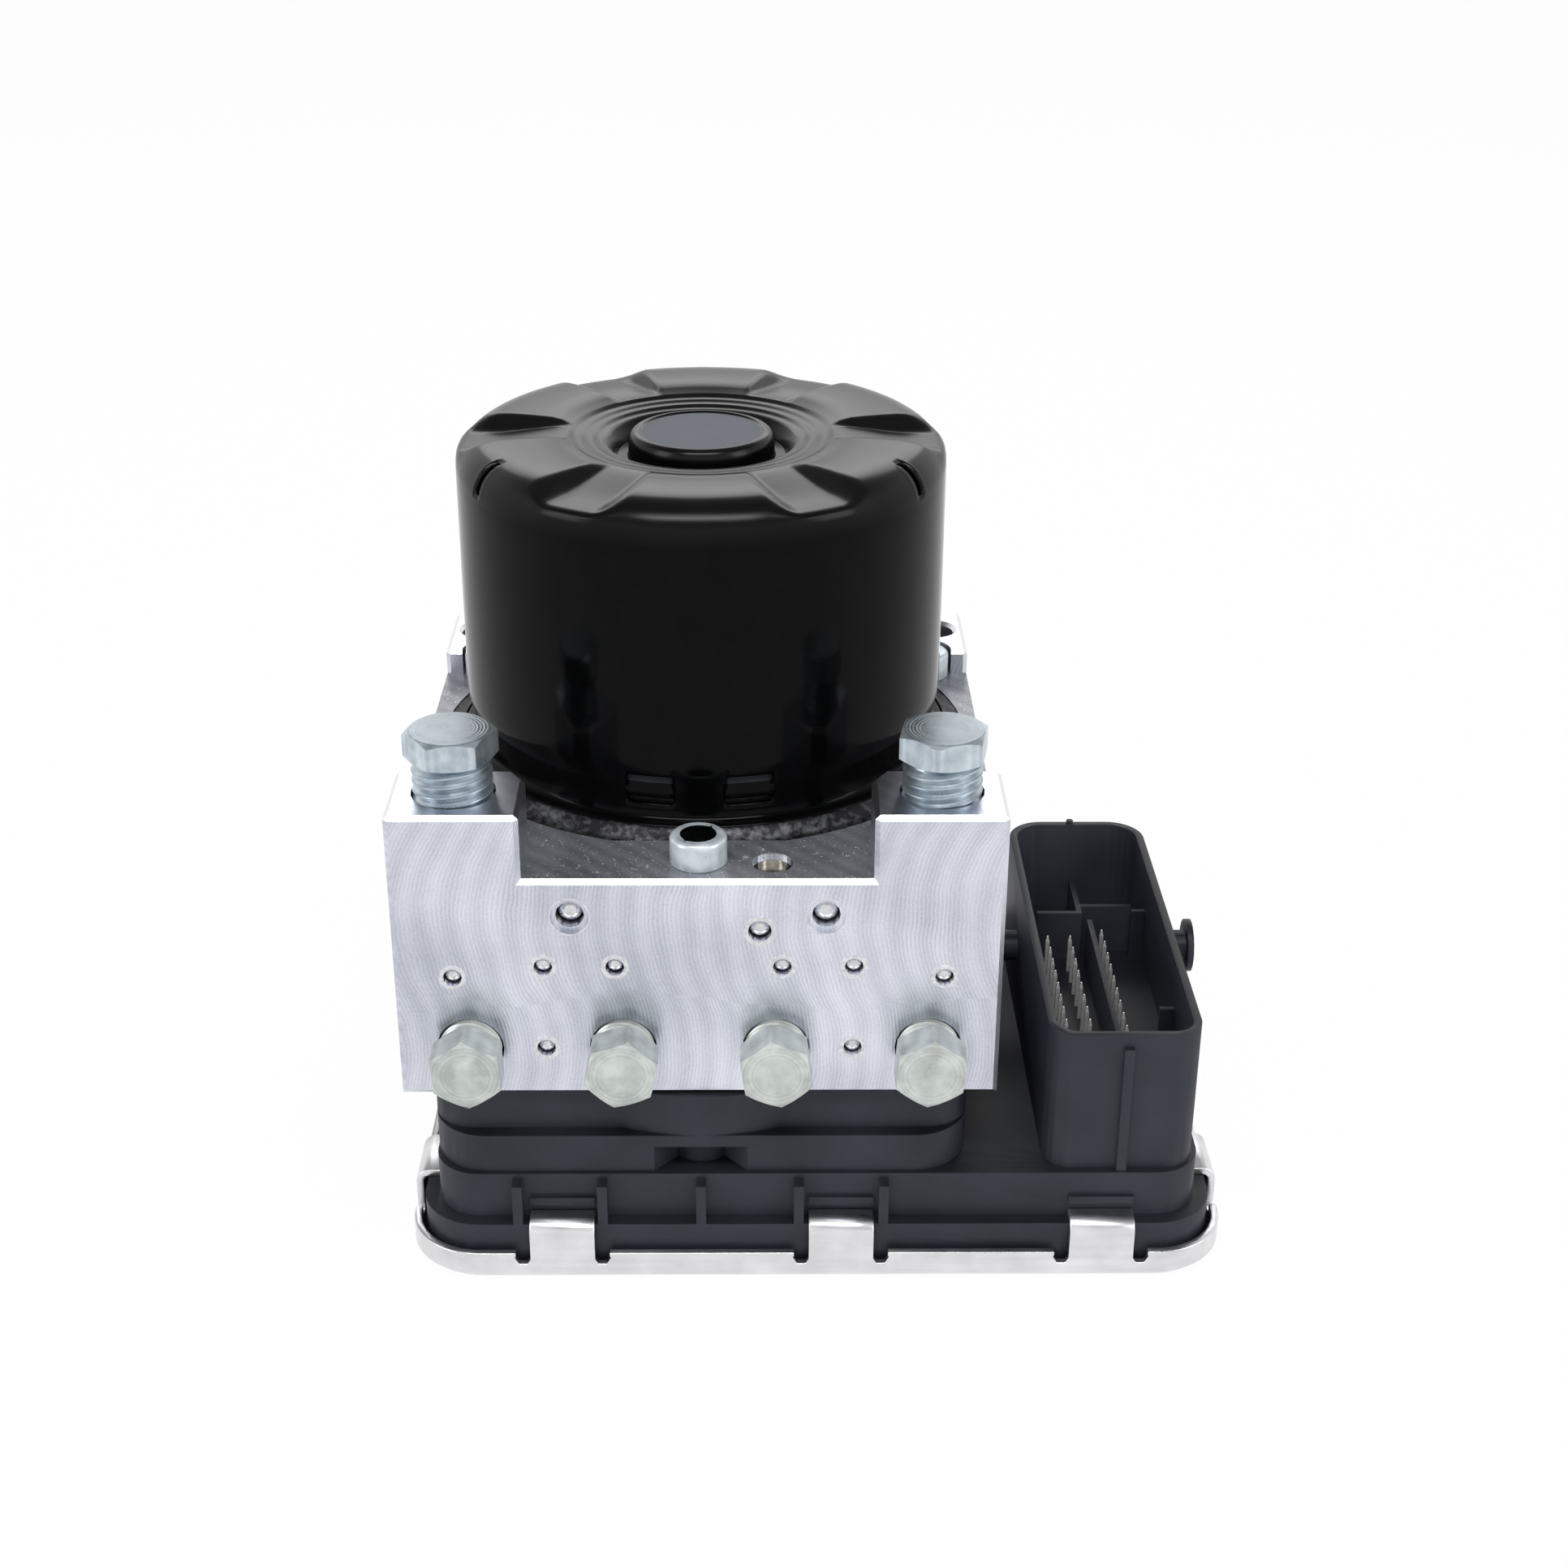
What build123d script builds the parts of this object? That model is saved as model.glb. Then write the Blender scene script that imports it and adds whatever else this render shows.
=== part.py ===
from build123d import *
import math
import os

# An anti-lock brake module: an aluminium valve block with a pump motor staked on its top
# and an electronic control unit screwed to its underside.
# Millimetres, +Z up. The motor axis is x = 0, y = 0, and z = 0 is the underside of the cover.
# The outlet ports face -Y and the wiring connector stands on the +X side.

# Hydraulic block, measured from the motor axis
block_half_width = 45.0
block_front = 53.4
block_back = 39.9
block_height = 36.6
block_edge = 0.7
front_ear_width = 19.4
front_ear_depth = 15.8
front_ear_rise = 10.3
front_ear_corner_x = 2.0
front_ear_corner_y = 3.4
rear_ear_depth = 17.9
rear_ear_rise = 4.5
rear_ear_motor_gap = 3.8

# Pipe ports and their transport plugs
outlet_pitch = 22.86
outlet_height = 8.2
outlet_bore = 10.0
outlet_depth = 12.0
outlet_plug_flats = 10.0
outlet_hex_length = 5.7
outlet_neck = 2.3
outlet_plug_reach = 8.0
outlet_turns = (3.0, -12.0, 8.0, -4.0)
inlet_x = 35.7
inlet_from_front = 8.7
inlet_bore = 12.4
inlet_depth = 14.0
inlet_plug_flats = 12.0
inlet_hex_length = 4.4
inlet_neck = 5.6
inlet_plug_reach = 9.0
inlet_turns = (22.3, 11.7)
port_thread_gap = 0.3
hex_edge = 0.5

# Sealing balls pressed into the drilled channels of the front face: across, up and diameter
ball_large = 4.1
ball_medium = 3.4
ball_small = 2.7
ball_places_large = ((-18.77, 30.57), (18.77, 30.57))
ball_places_medium = ((9.03, 28.2),)
ball_places_small = ((-36.35, 20.4), (36.35, 20.4), (-22.95, 22.2), (22.95, 22.2),
                     (-12.35, 22.15), (12.35, 22.15), (-22.93, 8.26), (22.93, 8.26))
ball_recess_rim = 0.75
ball_recess_depth = 0.8
ball_channel_depth = 6.0
ball_sink = 0.15
ball_barrel = 0.7

# Vent port in the notch floor, closed by a cap under a snap ring
vent_x = 10.9
vent_from_front = 5.6
vent_bore = 6.1
vent_depth = 8.0
vent_cap_thickness = 1.6
vent_ring_thickness = 0.8
vent_ring_width = 0.8
vent_ring_gap = 1.4
vent_recess = 0.6

# Mounting threads in the rear ears
mount_thread_bore = 6.8
mount_depth = 15.0
mount_x = 39.8
mount_from_back = 8.0
mount_countersink = 0.6

# Screws that hold the control unit to the block
screw_head_diameter = 8.5
screw_head_height = 4.4
screw_head_edge = 0.5
screw_diameter = 5.0
screw_clearance = 0.5
screw_pocket_gap = 0.5
front_screw_from_front = 6.4
screw_from_side = 3.5
screw_from_back = 6.5
insert_diameter = 6.4
insert_length = 9.0
insert_gap = 0.05
screw_end_room = 1.5

# Pump motor
can_radius = 38.25
can_sheet = 1.75
can_height = 51.1
can_shoulder = 4.8
can_neck = 1.05
can_neck_height = 7.7
neck_straight = 0.3
flange_radius = 39.4
flange_thickness = 2.2
flange_seat_depth = 0.5
stake_ring_width = 3.35
stake_flat = 40.7
boss_radius = 11.4
boss_face_radius = 9.5
boss_groove_radius = 13.2
boss_groove_depth = 4.1
lobe_count = 6
lobe_angle = 38.0
lobe_inner_radius = 21.0
lobe_rise = 2.2
lobe_root = 2.0
shoulder_steps = (0, 30, 60, 90)
rib_root_drop = 0.5
valley_drop = 1.8
boss_slope = 1.2
end_corner = 0.9
vent_slot_width = 1.3
vent_slot_length = 4.2
vent_slot_angles = (-30.0, -150.0, 90.0)
window_width = 6.8
window_height = 5.4
window_sill = 2.9
window_spread = 11.1
window_sets = 3
window_tab_lean = 2.0
window_tab_thickness = 1.1
window_tab_gap = 0.3

# Motor inside
magnet_thickness = 5.0
magnet_overhang = 2.5
magnet_arc = 66.0
magnet_count = 4
air_gap = 0.7
end_turn_room = 1.45
slot_count = 12
slot_width = 5.0
slot_mouth = 2.0
slot_root_radius = 16.0
slot_lip = 2.0
end_turn_height = 2.6
end_turn_outer = 27.0
end_turn_step = 3.0
winding_gap = 0.15
winding_overlap = 0.5
commutator_radius = 11.0
commutator_height = 10.0
commutator_groove_width = 0.5
commutator_groove_depth = 0.8
brush_plate_thickness = 4.0
brush_plate_hole = 9.0
brush_plate_gap = 0.3
brush_width = 6.0
brush_height = 7.0
brush_length = 9.0
brush_gap = 0.1
brush_box_wall = 1.2
brush_box_setback = 1.5
brush_spring_length = 3.0
brush_spring_strip = 0.5
seal_width = 1.4
seal_height = 1.0
seal_gap = 0.1
shaft_radius = 4.0
upper_journal_radius = 3.0
journal_clearance = 0.03
shaft_end_gap = 0.3
press_clearance = 0.02
upper_bearing_radius = 9.5
upper_bearing_width = 6.0
lower_bearing_radius = 11.0
lower_bearing_width = 7.0
bearing_fit = 0.05
eccentric_throw = 1.0
eccentric_radius = 6.0
eccentric_bearing_radius = 9.0
eccentric_bearing_width = 14.0
eccentric_room = 0.6

# Pumps and accumulators inside the block
pump_height = 17.8
pump_bore = 10.0
pump_spring_length = 7.0
pump_stroke = 2.0
pump_cap_thickness = 5.0
pump_spring_wall = 1.0
chamber_floor = 8.0
piston_clearance = 0.05
piston_tip_gap = 0.3
accumulator_x = 20.0
accumulator_bore = 20.0
accumulator_depth = 25.5
accumulator_piston_length = 8.0
accumulator_stroke = 6.0
accumulator_cap_thickness = 4.0
accumulator_spring_wall = 1.2
accumulator_spring_diameter = 14.0
cap_recess = 0.4
lead_y = 22.5
lead_radius = 3.9
lead_gap = 0.1
lead_blade_thickness = 0.8
lead_blade_width = 4.0
lead_blade_spacing = 4.0
lead_blade_length = 7.0

# Solenoid valves
valve_pitch = 19.0
valve_row_front = -31.0
valve_row_rear = -12.0
valve_dome_radius = 3.0
valve_body_radius = 4.4
valve_depth = 10.5
valve_body_gap = 0.1
coil_width = 15.0
coil_headroom = 1.2
coil_bore_gap = 0.2
yoke_sheet = 1.6
winding_radius = 5.6
coil_pin_width = 0.8
coil_pin_spread = 10.0

# Control unit housing, one moulding: tray, coil box and connector tower
cover_sheet = 1.2
seal_bead = 0.6
ledge_height = 9.2
tray_rise = 7.7
coil_box_rise = 13.3
ledge_width = 2.4
housing_wall = 1.8
board_shelf = 1.4
board_seat = 6.8
board_thickness = 1.6
board_edge_gap = 0.3
board_headroom = 3.0
web_thickness = 1.6
root_depth = 0.5
tray_right = 77.1
tray_front = 55.3
tray_back = 31.2
tray_corner = 7.0
coil_box_half_width = 41.0
coil_box_front = 52.0
coil_box_back = 29.0
coil_box_corner = 6.0
coil_box_wall = 2.6
skirt_step = 2.4
skirt_drop = 6.95
bulge_half_width = 12.0
bulge_drop = 9.0
recess_mouth = 14.5
recess_back = 7.0
recess_depth = 4.0
screw_boss_wall = 1.8
gasket_inset = 0.5
gasket_width = 1.0
gasket_height = 1.0
gasket_gap = 0.05
rib_width = 1.5
rib_places = (-28.1, -15.1, 0.0, 15.0, 28.0)
rib_top_gap = 0.8
lead_in_depth = 0.7
lead_in_rise = 2.4
lead_in_height = 1.3

# Connector tower
tower_left = 52.7
tower_right = 76.0
tower_front = 53.9
tower_back = 16.9
tower_rise = 23.8
tower_corner_front = 4.5
tower_corner_back = 6.0
tower_wall = 1.25
tower_floor_depth = 16.2
tower_floor_thickness = 2.0
divider_top_gap = 7.5
divider_thickness = 0.9
divider_x = 65.0
divider_front = 41.0
divider_back = 5.0
cross_left_y = -2.4
cross_left_gap = 3.7
cross_right_y = 0.0
cross_right_gap = 3.3
middle_post_x = 63.6
middle_post_length = 12.1
key_depth = 2.2
key_places = (-1.9, -33.8)
tower_rib_x = 64.5
tower_rib_depth = 1.0
tower_rib_top_gap = 2.0
pin_width = 0.64
pin_rise = 6.7
pin_tip = 1.0
pin_pitch = 3.82
pins_per_row = 12
pin_rows = ((57.8, -7.1), (61.6, -7.1), (67.2, -5.1))
peg_radius = 2.6
peg_disc_radius = 4.45
peg_disc_thickness = 1.0
peg_length = 6.2
peg_y = -6.0
peg_below_rim = 11.9
nub_x = 63.7
nub_radius = 0.6
nub_rise = 0.6

# Circuit board parts: place, size along x and y, height
board_chips = ((-20.0, -22.0, 14.0, 14.0, 1.6), (10.0, -24.0, 12.0, 12.0, 1.6),
               (-24.0, 8.0, 9.0, 9.0, 1.4), (12.0, 4.0, 10.0, 7.0, 1.4),
               (28.0, 18.0, 8.0, 6.0, 1.4))
capacitor_radius = 4.6
capacitor_height = 7.0
capacitor_places = ((47.0, -30.0), (47.0, -17.0))

# Base cover, a stamped tray with bent clips
cover_rim_height = 5.2
cover_gap = 0.8
cover_bend = 3.0
clip_width = 10.0
clip_places_front = (-21.3, 21.5, 61.6)
clip_side_y = -40.0
clip_bend = 2.2
clip_relief = 2.0
clip_relief_radius = 1.1
clip_end_gap = 0.2

# Repeated and hidden round pieces are drawn with flat sides
bar_sides = 12
shaft_sides = 24
seat_sides = 72

# Heights and outlines worked out from the sizes above
skirt_foot = cover_sheet + seal_bead
tray_top = ledge_height + tray_rise
block_base = tray_top + coil_box_rise
block_top = block_base + block_height
front_ear_top = block_top + front_ear_rise
rear_ear_top = block_top + rear_ear_rise
web_bottom = board_seat + board_headroom
web_top = web_bottom + web_thickness
tower_top = tray_top + tower_rise
tower_floor = tower_top - tower_floor_depth
pin_top = tower_floor + pin_rise
flange_base = block_top - flange_seat_depth
flange_top = flange_base + flange_thickness
can_top = block_top + can_height
stake_ring_radius = flange_radius + stake_ring_width
pump_z = block_base + pump_height
chamber_base = block_base + chamber_floor
chamber_radius = eccentric_bearing_radius + eccentric_throw + eccentric_room
pump_tip = eccentric_bearing_radius + eccentric_throw + piston_tip_gap
pump_cap_inside = block_half_width - cap_recess - pump_cap_thickness
pump_piston_end = pump_cap_inside - pump_spring_length - piston_tip_gap - pump_stroke
plate_base = flange_base + seal_height
plate_top = plate_base + brush_plate_thickness
can_inner_radius = can_radius - can_sheet
core_radius = can_inner_radius - press_clearance - magnet_thickness - air_gap
commutator_base = plate_top + air_gap
core_base = commutator_base + commutator_height + end_turn_height + 2 * air_gap
core_top = can_top - boss_groove_depth - can_sheet - end_turn_height - end_turn_room
magnet_height = core_top - core_base + 2 * magnet_overhang
upper_bearing_top = can_top - can_sheet - bearing_fit
upper_bearing_base = upper_bearing_top - upper_bearing_width
front_screw_y = -block_front + front_screw_from_front
rear_screw_x = coil_box_half_width - screw_from_side
rear_screw_y = coil_box_back - screw_from_back
tray_left = coil_box_half_width
inlet_y = -block_front + inlet_from_front
vent_y = -block_front + vent_from_front
mount_y = block_back - mount_from_back
screw_places = ((0.0, front_screw_y), (-rear_screw_x, rear_screw_y), (rear_screw_x, rear_screw_y))
valve_columns = tuple(valve_pitch * (i - 1.5) for i in range(4))
inlet_valve_places = tuple((x, valve_row_front) for x in valve_columns)
outlet_valve_places = tuple((x, valve_row_rear) for x in valve_columns)
coil_height = block_base - web_top - coil_headroom
screw_boss_radius = insert_diameter / 2 + screw_boss_wall
cover_offset = ledge_width + cover_gap + cover_sheet


def slab(x0, x1, y0, y1, z0, z1):
    """A box between two corners."""
    centre = Pos((x0 + x1) / 2, (y0 + y1) / 2, (z0 + z1) / 2)
    return centre * Box(x1 - x0, y1 - y0, z1 - z0)


def rounded_slab(x0, x1, y0, y1, z0, z1, corner):
    """A box with upright rounded corners."""
    outline = Pos((x0 + x1) / 2, (y0 + y1) / 2, z0) * RectangleRounded(x1 - x0, y1 - y0, corner)
    return extrude(outline, amount=z1 - z0)


def rod(x, y, z0, z1, radius):
    """An upright round bar."""
    return Pos(x, y, (z0 + z1) / 2) * Cylinder(radius, z1 - z0)


def rod_along_x(x0, x1, y, z, radius):
    """A round bar that lies along X."""
    return Pos((x0 + x1) / 2, y, z) * Rot(0, 90, 0) * Cylinder(radius, abs(x1 - x0))


def bar(x, y, z0, z1, radius, sides=bar_sides, around=False):
    """An upright many-sided bar, inside its circle, or around it where it cuts a bore."""
    outline = Pos(x, y, z0) * RegularPolygon(radius, sides, major_radius=not around)
    return extrude(outline, amount=z1 - z0)


def bar_along_x(x0, x1, y, z, radius, sides=bar_sides, around=False):
    """A many-sided bar that lies along X."""
    return Pos(min(x0, x1), y, z) * Rot(0, 90, 0) * bar(0, 0, 0, abs(x1 - x0), radius, sides, around)


def bar_along_y(x, y0, y1, z, radius, sides=bar_sides, around=False):
    """A many-sided bar that lies along Y, from its front end to its rear end."""
    return Pos(x, y0, z) * Rot(-90, 0, 0) * bar(0, 0, 0, y1 - y0, radius, sides, around)


def tube(x, y, z0, z1, outer, inner, sides=bar_sides):
    """An upright many-sided tube whose bore clears its circle."""
    return bar(x, y, z0, z1, outer, sides) - bar(x, y, z0 - 1, z1 + 1, inner, sides, around=True)


def turned(points, angle=360.0, start=0.0):
    """A solid of revolution about the motor axis from radius and height points."""
    outline = make_face(Polyline(*[(r, 0, z) for r, z in points], close=True))
    return Rot(0, 0, start) * revolve(outline, Axis.Z, angle)


def tray_outline(offset, z0, z1):
    """The rounded outline of the tray, grown by an offset."""
    return rounded_slab(-tray_left - offset, tray_right + offset, -tray_front - offset,
                        tray_back + offset, z0, z1, tray_corner + offset)


def coil_box_outline(offset, z0, z1):
    """The rounded outline of the coil box, grown by an offset."""
    return rounded_slab(-coil_box_half_width - offset, coil_box_half_width + offset,
                        -coil_box_front - offset, coil_box_back + offset, z0, z1,
                        coil_box_corner + offset)


def tower_outline(inset, z0, z1):
    """The connector tower's outline, shrunk by an inset, with its larger rear corners."""
    outline = Pos((tower_left + tower_right) / 2, (tower_back - tower_front) / 2, z0) * Rectangle(
        tower_right - tower_left - 2 * inset, tower_back + tower_front - 2 * inset)
    corners = outline.vertices().sort_by(Axis.Y)
    outline = fillet(corners[:2], tower_corner_front - inset)
    outline = fillet(outline.vertices().sort_by(Axis.Y)[-2:], tower_corner_back - inset)
    return extrude(outline, amount=z1 - z0)


def save(node, solids):
    """Write one node, either a single solid or a group of separate solids."""
    if isinstance(solids, (list, tuple)):
        solids = Compound(children=[s for shape in solids for s in shape.solids()])
    export_step(solids, "parts/" + node + ".step")


def hydraulic_block():
    """The drilled and milled aluminium block with its front and rear ears."""
    body = slab(-block_half_width, block_half_width, -block_front, block_back, block_base, block_top)
    ear_inside = block_half_width - front_ear_width
    ear_back = -block_front + front_ear_depth
    for side in (-1, 1):
        ear = Polyline((side * ear_inside, -block_front), (side * block_half_width, -block_front),
                       (side * block_half_width, ear_back),
                       (side * (ear_inside + front_ear_corner_x), ear_back),
                       (side * ear_inside, ear_back - front_ear_corner_y), close=True)
        body += Pos(0, 0, block_top) * extrude(make_face(ear), amount=front_ear_rise)
        body += slab(*sorted((side * block_half_width, side * (rear_screw_x - front_ear_width))),
                     block_back - rear_ear_depth, block_back, block_top, rear_ear_top)
    top_faces = body.faces().filter_by(Axis.Z).filter_by(lambda f: f.center().Z > block_top + 1)
    front_face = body.faces().sort_by(Axis.Y)[0]
    back_face = body.faces().sort_by(Axis.Y)[-1]
    edges = front_face.edges() + back_face.edges()
    for face in top_faces:
        edges += face.edges()
    edges += body.edges().filter_by(Axis.Z).filter_by(
        lambda e: abs(e.center().X) > block_half_width - 0.1)
    body = chamfer(list(dict.fromkeys(edges)), block_edge)

    # Seat of the motor flange, with the staking ring around it and a flat beside the front screw
    clear = bar(0, 0, block_top, rear_ear_top + 1, flange_radius + rear_ear_motor_gap, seat_sides)
    body -= clear & slab(-block_half_width, block_half_width, 0, block_back + 1, block_top,
                         rear_ear_top + 1)
    ring = bar(0, 0, flange_base, block_top + 1, stake_ring_radius, seat_sides)
    body -= ring & slab(-block_half_width, block_half_width, -stake_flat, block_back + 1,
                        flange_base, block_top + 1)

    # Motor bearing seat and eccentric chamber, crossed by the pump bore
    body -= bar(0, 0, flange_base - lower_bearing_width, flange_base + 1,
                lower_bearing_radius + bearing_fit, shaft_sides, around=True)
    body -= bar(0, 0, chamber_base, flange_base, chamber_radius, shaft_sides)
    body -= bar_along_x(-block_half_width - 1, block_half_width + 1, 0, pump_z, pump_bore / 2,
                        shaft_sides, around=True)
    for side in (-1, 1):
        body -= bar_along_y(side * accumulator_x, block_back - accumulator_depth, block_back + 1,
                            pump_z, accumulator_bore / 2, shaft_sides, around=True)
    body -= bar(0, lead_y, block_base - 1, flange_base + 1, lead_radius + lead_gap, around=True)

    # Pipe ports, channels closed by balls, and the vent port
    for i in range(4):
        body -= bar_along_y(outlet_pitch * (i - 1.5), -block_front - 1, -block_front + outlet_depth,
                            block_base + outlet_height, outlet_bore / 2, shaft_sides, around=True)
    for side in (-1, 1):
        body -= bar(side * inlet_x, inlet_y, front_ear_top - inlet_depth, front_ear_top + 1,
                    inlet_bore / 2, shaft_sides, around=True)
    for places, size in ((ball_places_large, ball_large), (ball_places_medium, ball_medium),
                         (ball_places_small, ball_small)):
        for x, z in places:
            body -= bar_along_y(x, -block_front - 1, -block_front + ball_channel_depth,
                                block_base + z, size / 2, around=True)
    for x, z in ball_places_large:
        body -= bar_along_y(x, -block_front - 1, -block_front + ball_recess_depth, block_base + z,
                            ball_large / 2 + ball_recess_rim, shaft_sides)
    body -= bar(vent_x, vent_y, block_top - vent_depth, block_top + 1, vent_bore / 2, shaft_sides,
                around=True)

    # Screw holes with head pockets in the rear ears, mounting threads and valve bores
    for x, y in screw_places:
        body -= bar(x, y, block_base - 1, block_top + 1, (screw_diameter + screw_clearance) / 2,
                    around=True)
    for side in (-1, 1):
        body -= bar(side * rear_screw_x, rear_screw_y, block_top, rear_ear_top + 1,
                    screw_head_diameter / 2 + screw_pocket_gap, shaft_sides)
        body -= rod(side * mount_x, mount_y, rear_ear_top - mount_depth, rear_ear_top + 1,
                    mount_thread_bore / 2)
        body -= Pos(side * mount_x, mount_y, rear_ear_top - mount_countersink / 2) * Cone(
            mount_thread_bore / 2, mount_thread_bore / 2 + mount_countersink, mount_countersink)
    for x, y in inlet_valve_places + outlet_valve_places:
        body -= bar(x, y, block_base - 1, block_base + valve_depth, valve_body_radius + valve_body_gap,
                    around=True)
    return body


def hex_plug(flats, hex_length, neck, reach, thread_radius):
    """A hexagon-headed screw plug that stands along +Z, with the port face at z = 0."""
    head = extrude(RegularPolygon(flats / 2, 6, major_radius=False), amount=hex_length)
    head = chamfer(head.edges().group_by(Axis.Z)[-1], hex_edge)
    return Pos(0, 0, neck) * head + bar(0, 0, -reach, neck, thread_radius, shaft_sides)


def outlet_plugs():
    """The four plugs that close the wheel brake ports."""
    plug = hex_plug(outlet_plug_flats, outlet_hex_length, outlet_neck, outlet_plug_reach,
                    outlet_bore / 2 - port_thread_gap)
    places = [(outlet_pitch * (i - 1.5), outlet_turns[i]) for i in range(4)]
    return [Pos(x, -block_front, block_base + outlet_height) * Rot(90, 0, 0) * Rot(0, 0, turn) * plug
            for x, turn in places]


def inlet_plugs():
    """The two larger plugs that close the master cylinder ports."""
    plug = hex_plug(inlet_plug_flats, inlet_hex_length, inlet_neck, inlet_plug_reach,
                    inlet_bore / 2 - port_thread_gap)
    places = ((-inlet_x, -inlet_turns[0]), (inlet_x, -inlet_turns[1]))
    return [Pos(x, inlet_y, front_ear_top) * Rot(0, 0, turn) * plug for x, turn in places]


def sealing_balls(places, size):
    """Balls pressed into drilled channels, shown by the round nose that faces out."""
    solids = []
    for x, z in places:
        inset = ball_recess_depth if size == ball_large else 0.0
        nose = -block_front + inset + size * ball_sink
        solids.append(bar_along_y(x, nose, nose + size * ball_barrel, block_base + z,
                                  size / 2 - press_clearance))
    return solids


def vent_cap():
    """The flat cap in the vent port."""
    top = block_top - vent_recess - vent_ring_thickness
    return bar(vent_x, vent_y, top - vent_cap_thickness, top, vent_bore / 2 - press_clearance,
               shaft_sides)


def vent_snap_ring():
    """The split ring that keeps the vent cap in."""
    top = block_top - vent_recess
    radius = vent_bore / 2 - press_clearance
    ring = rod(vent_x, vent_y, top - vent_ring_thickness, top, radius)
    low = top - vent_ring_thickness - 1
    ring -= rod(vent_x, vent_y, low, top + 1, radius - vent_ring_width)
    return ring - slab(vent_x - vent_ring_gap / 2, vent_x + vent_ring_gap / 2, vent_y - vent_bore,
                       vent_y, low, top + 1)


def housing_screws():
    """The three six-lobe screws through the block, without their sockets and threads."""
    solids = []
    for x, y in screw_places:
        head = bar(x, y, block_top, block_top + screw_head_height, screw_head_diameter / 2,
                   shaft_sides)
        head = chamfer(head.edges().group_by(Axis.Z)[-1], screw_head_edge)
        shank = bar(x, y, block_base - insert_length + screw_end_room, block_top, screw_diameter / 2)
        solids.append(head + shank)
    return solids


def threaded_inserts():
    """Brass inserts in the control unit's screw bosses."""
    return [tube(x, y, block_base - insert_length, block_base, insert_diameter / 2,
                 screw_diameter / 2 + press_clearance) for x, y in screw_places]


def pump_pistons():
    """The left and right pump pistons, at their innermost place."""
    radius = pump_bore / 2 - piston_clearance
    return [bar_along_x(side * pump_tip, side * pump_piston_end, 0, pump_z, radius, shaft_sides)
            for side in (-1, 1)]


def pump_springs():
    """Return springs of the pump pistons, at their shortest length, on their caps."""
    inner = pump_cap_inside - pump_spring_length
    outer = pump_cap_inside
    radius = pump_bore / 2 - piston_tip_gap
    return [bar_along_x(side * inner, side * outer, 0, pump_z, radius)
            - bar_along_x(side * (inner - 1), side * (outer + 1), 0, pump_z,
                          radius - pump_spring_wall) for side in (-1, 1)]


def pump_caps():
    """Caps that close the outer ends of the pump bore."""
    outer = block_half_width - cap_recess
    return [bar_along_x(side * pump_cap_inside, side * outer, 0, pump_z,
                        pump_bore / 2 - press_clearance, shaft_sides) for side in (-1, 1)]


def accumulator_pistons():
    """The left and right accumulator pistons, at their empty place."""
    inner = block_back - accumulator_depth + piston_tip_gap
    radius = accumulator_bore / 2 - piston_clearance
    return [bar_along_y(side * accumulator_x, inner, inner + accumulator_piston_length, pump_z,
                        radius, shaft_sides) for side in (-1, 1)]


def accumulator_springs():
    """Accumulator springs at their shortest length, on their caps."""
    piston_end = block_back - accumulator_depth + piston_tip_gap + accumulator_piston_length
    inner = piston_end + accumulator_stroke + piston_tip_gap
    outer = block_back - cap_recess - accumulator_cap_thickness
    radius = accumulator_spring_diameter / 2
    return [bar_along_y(side * accumulator_x, inner, outer, pump_z, radius)
            - bar_along_y(side * accumulator_x, inner - 1, outer + 1, pump_z,
                          radius - accumulator_spring_wall) for side in (-1, 1)]


def accumulator_caps():
    """Caps that close the accumulator bores in the rear face."""
    outer = block_back - cap_recess
    return [bar_along_y(side * accumulator_x, outer - accumulator_cap_thickness, outer, pump_z,
                        accumulator_bore / 2 - press_clearance, shaft_sides) for side in (-1, 1)]


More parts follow.
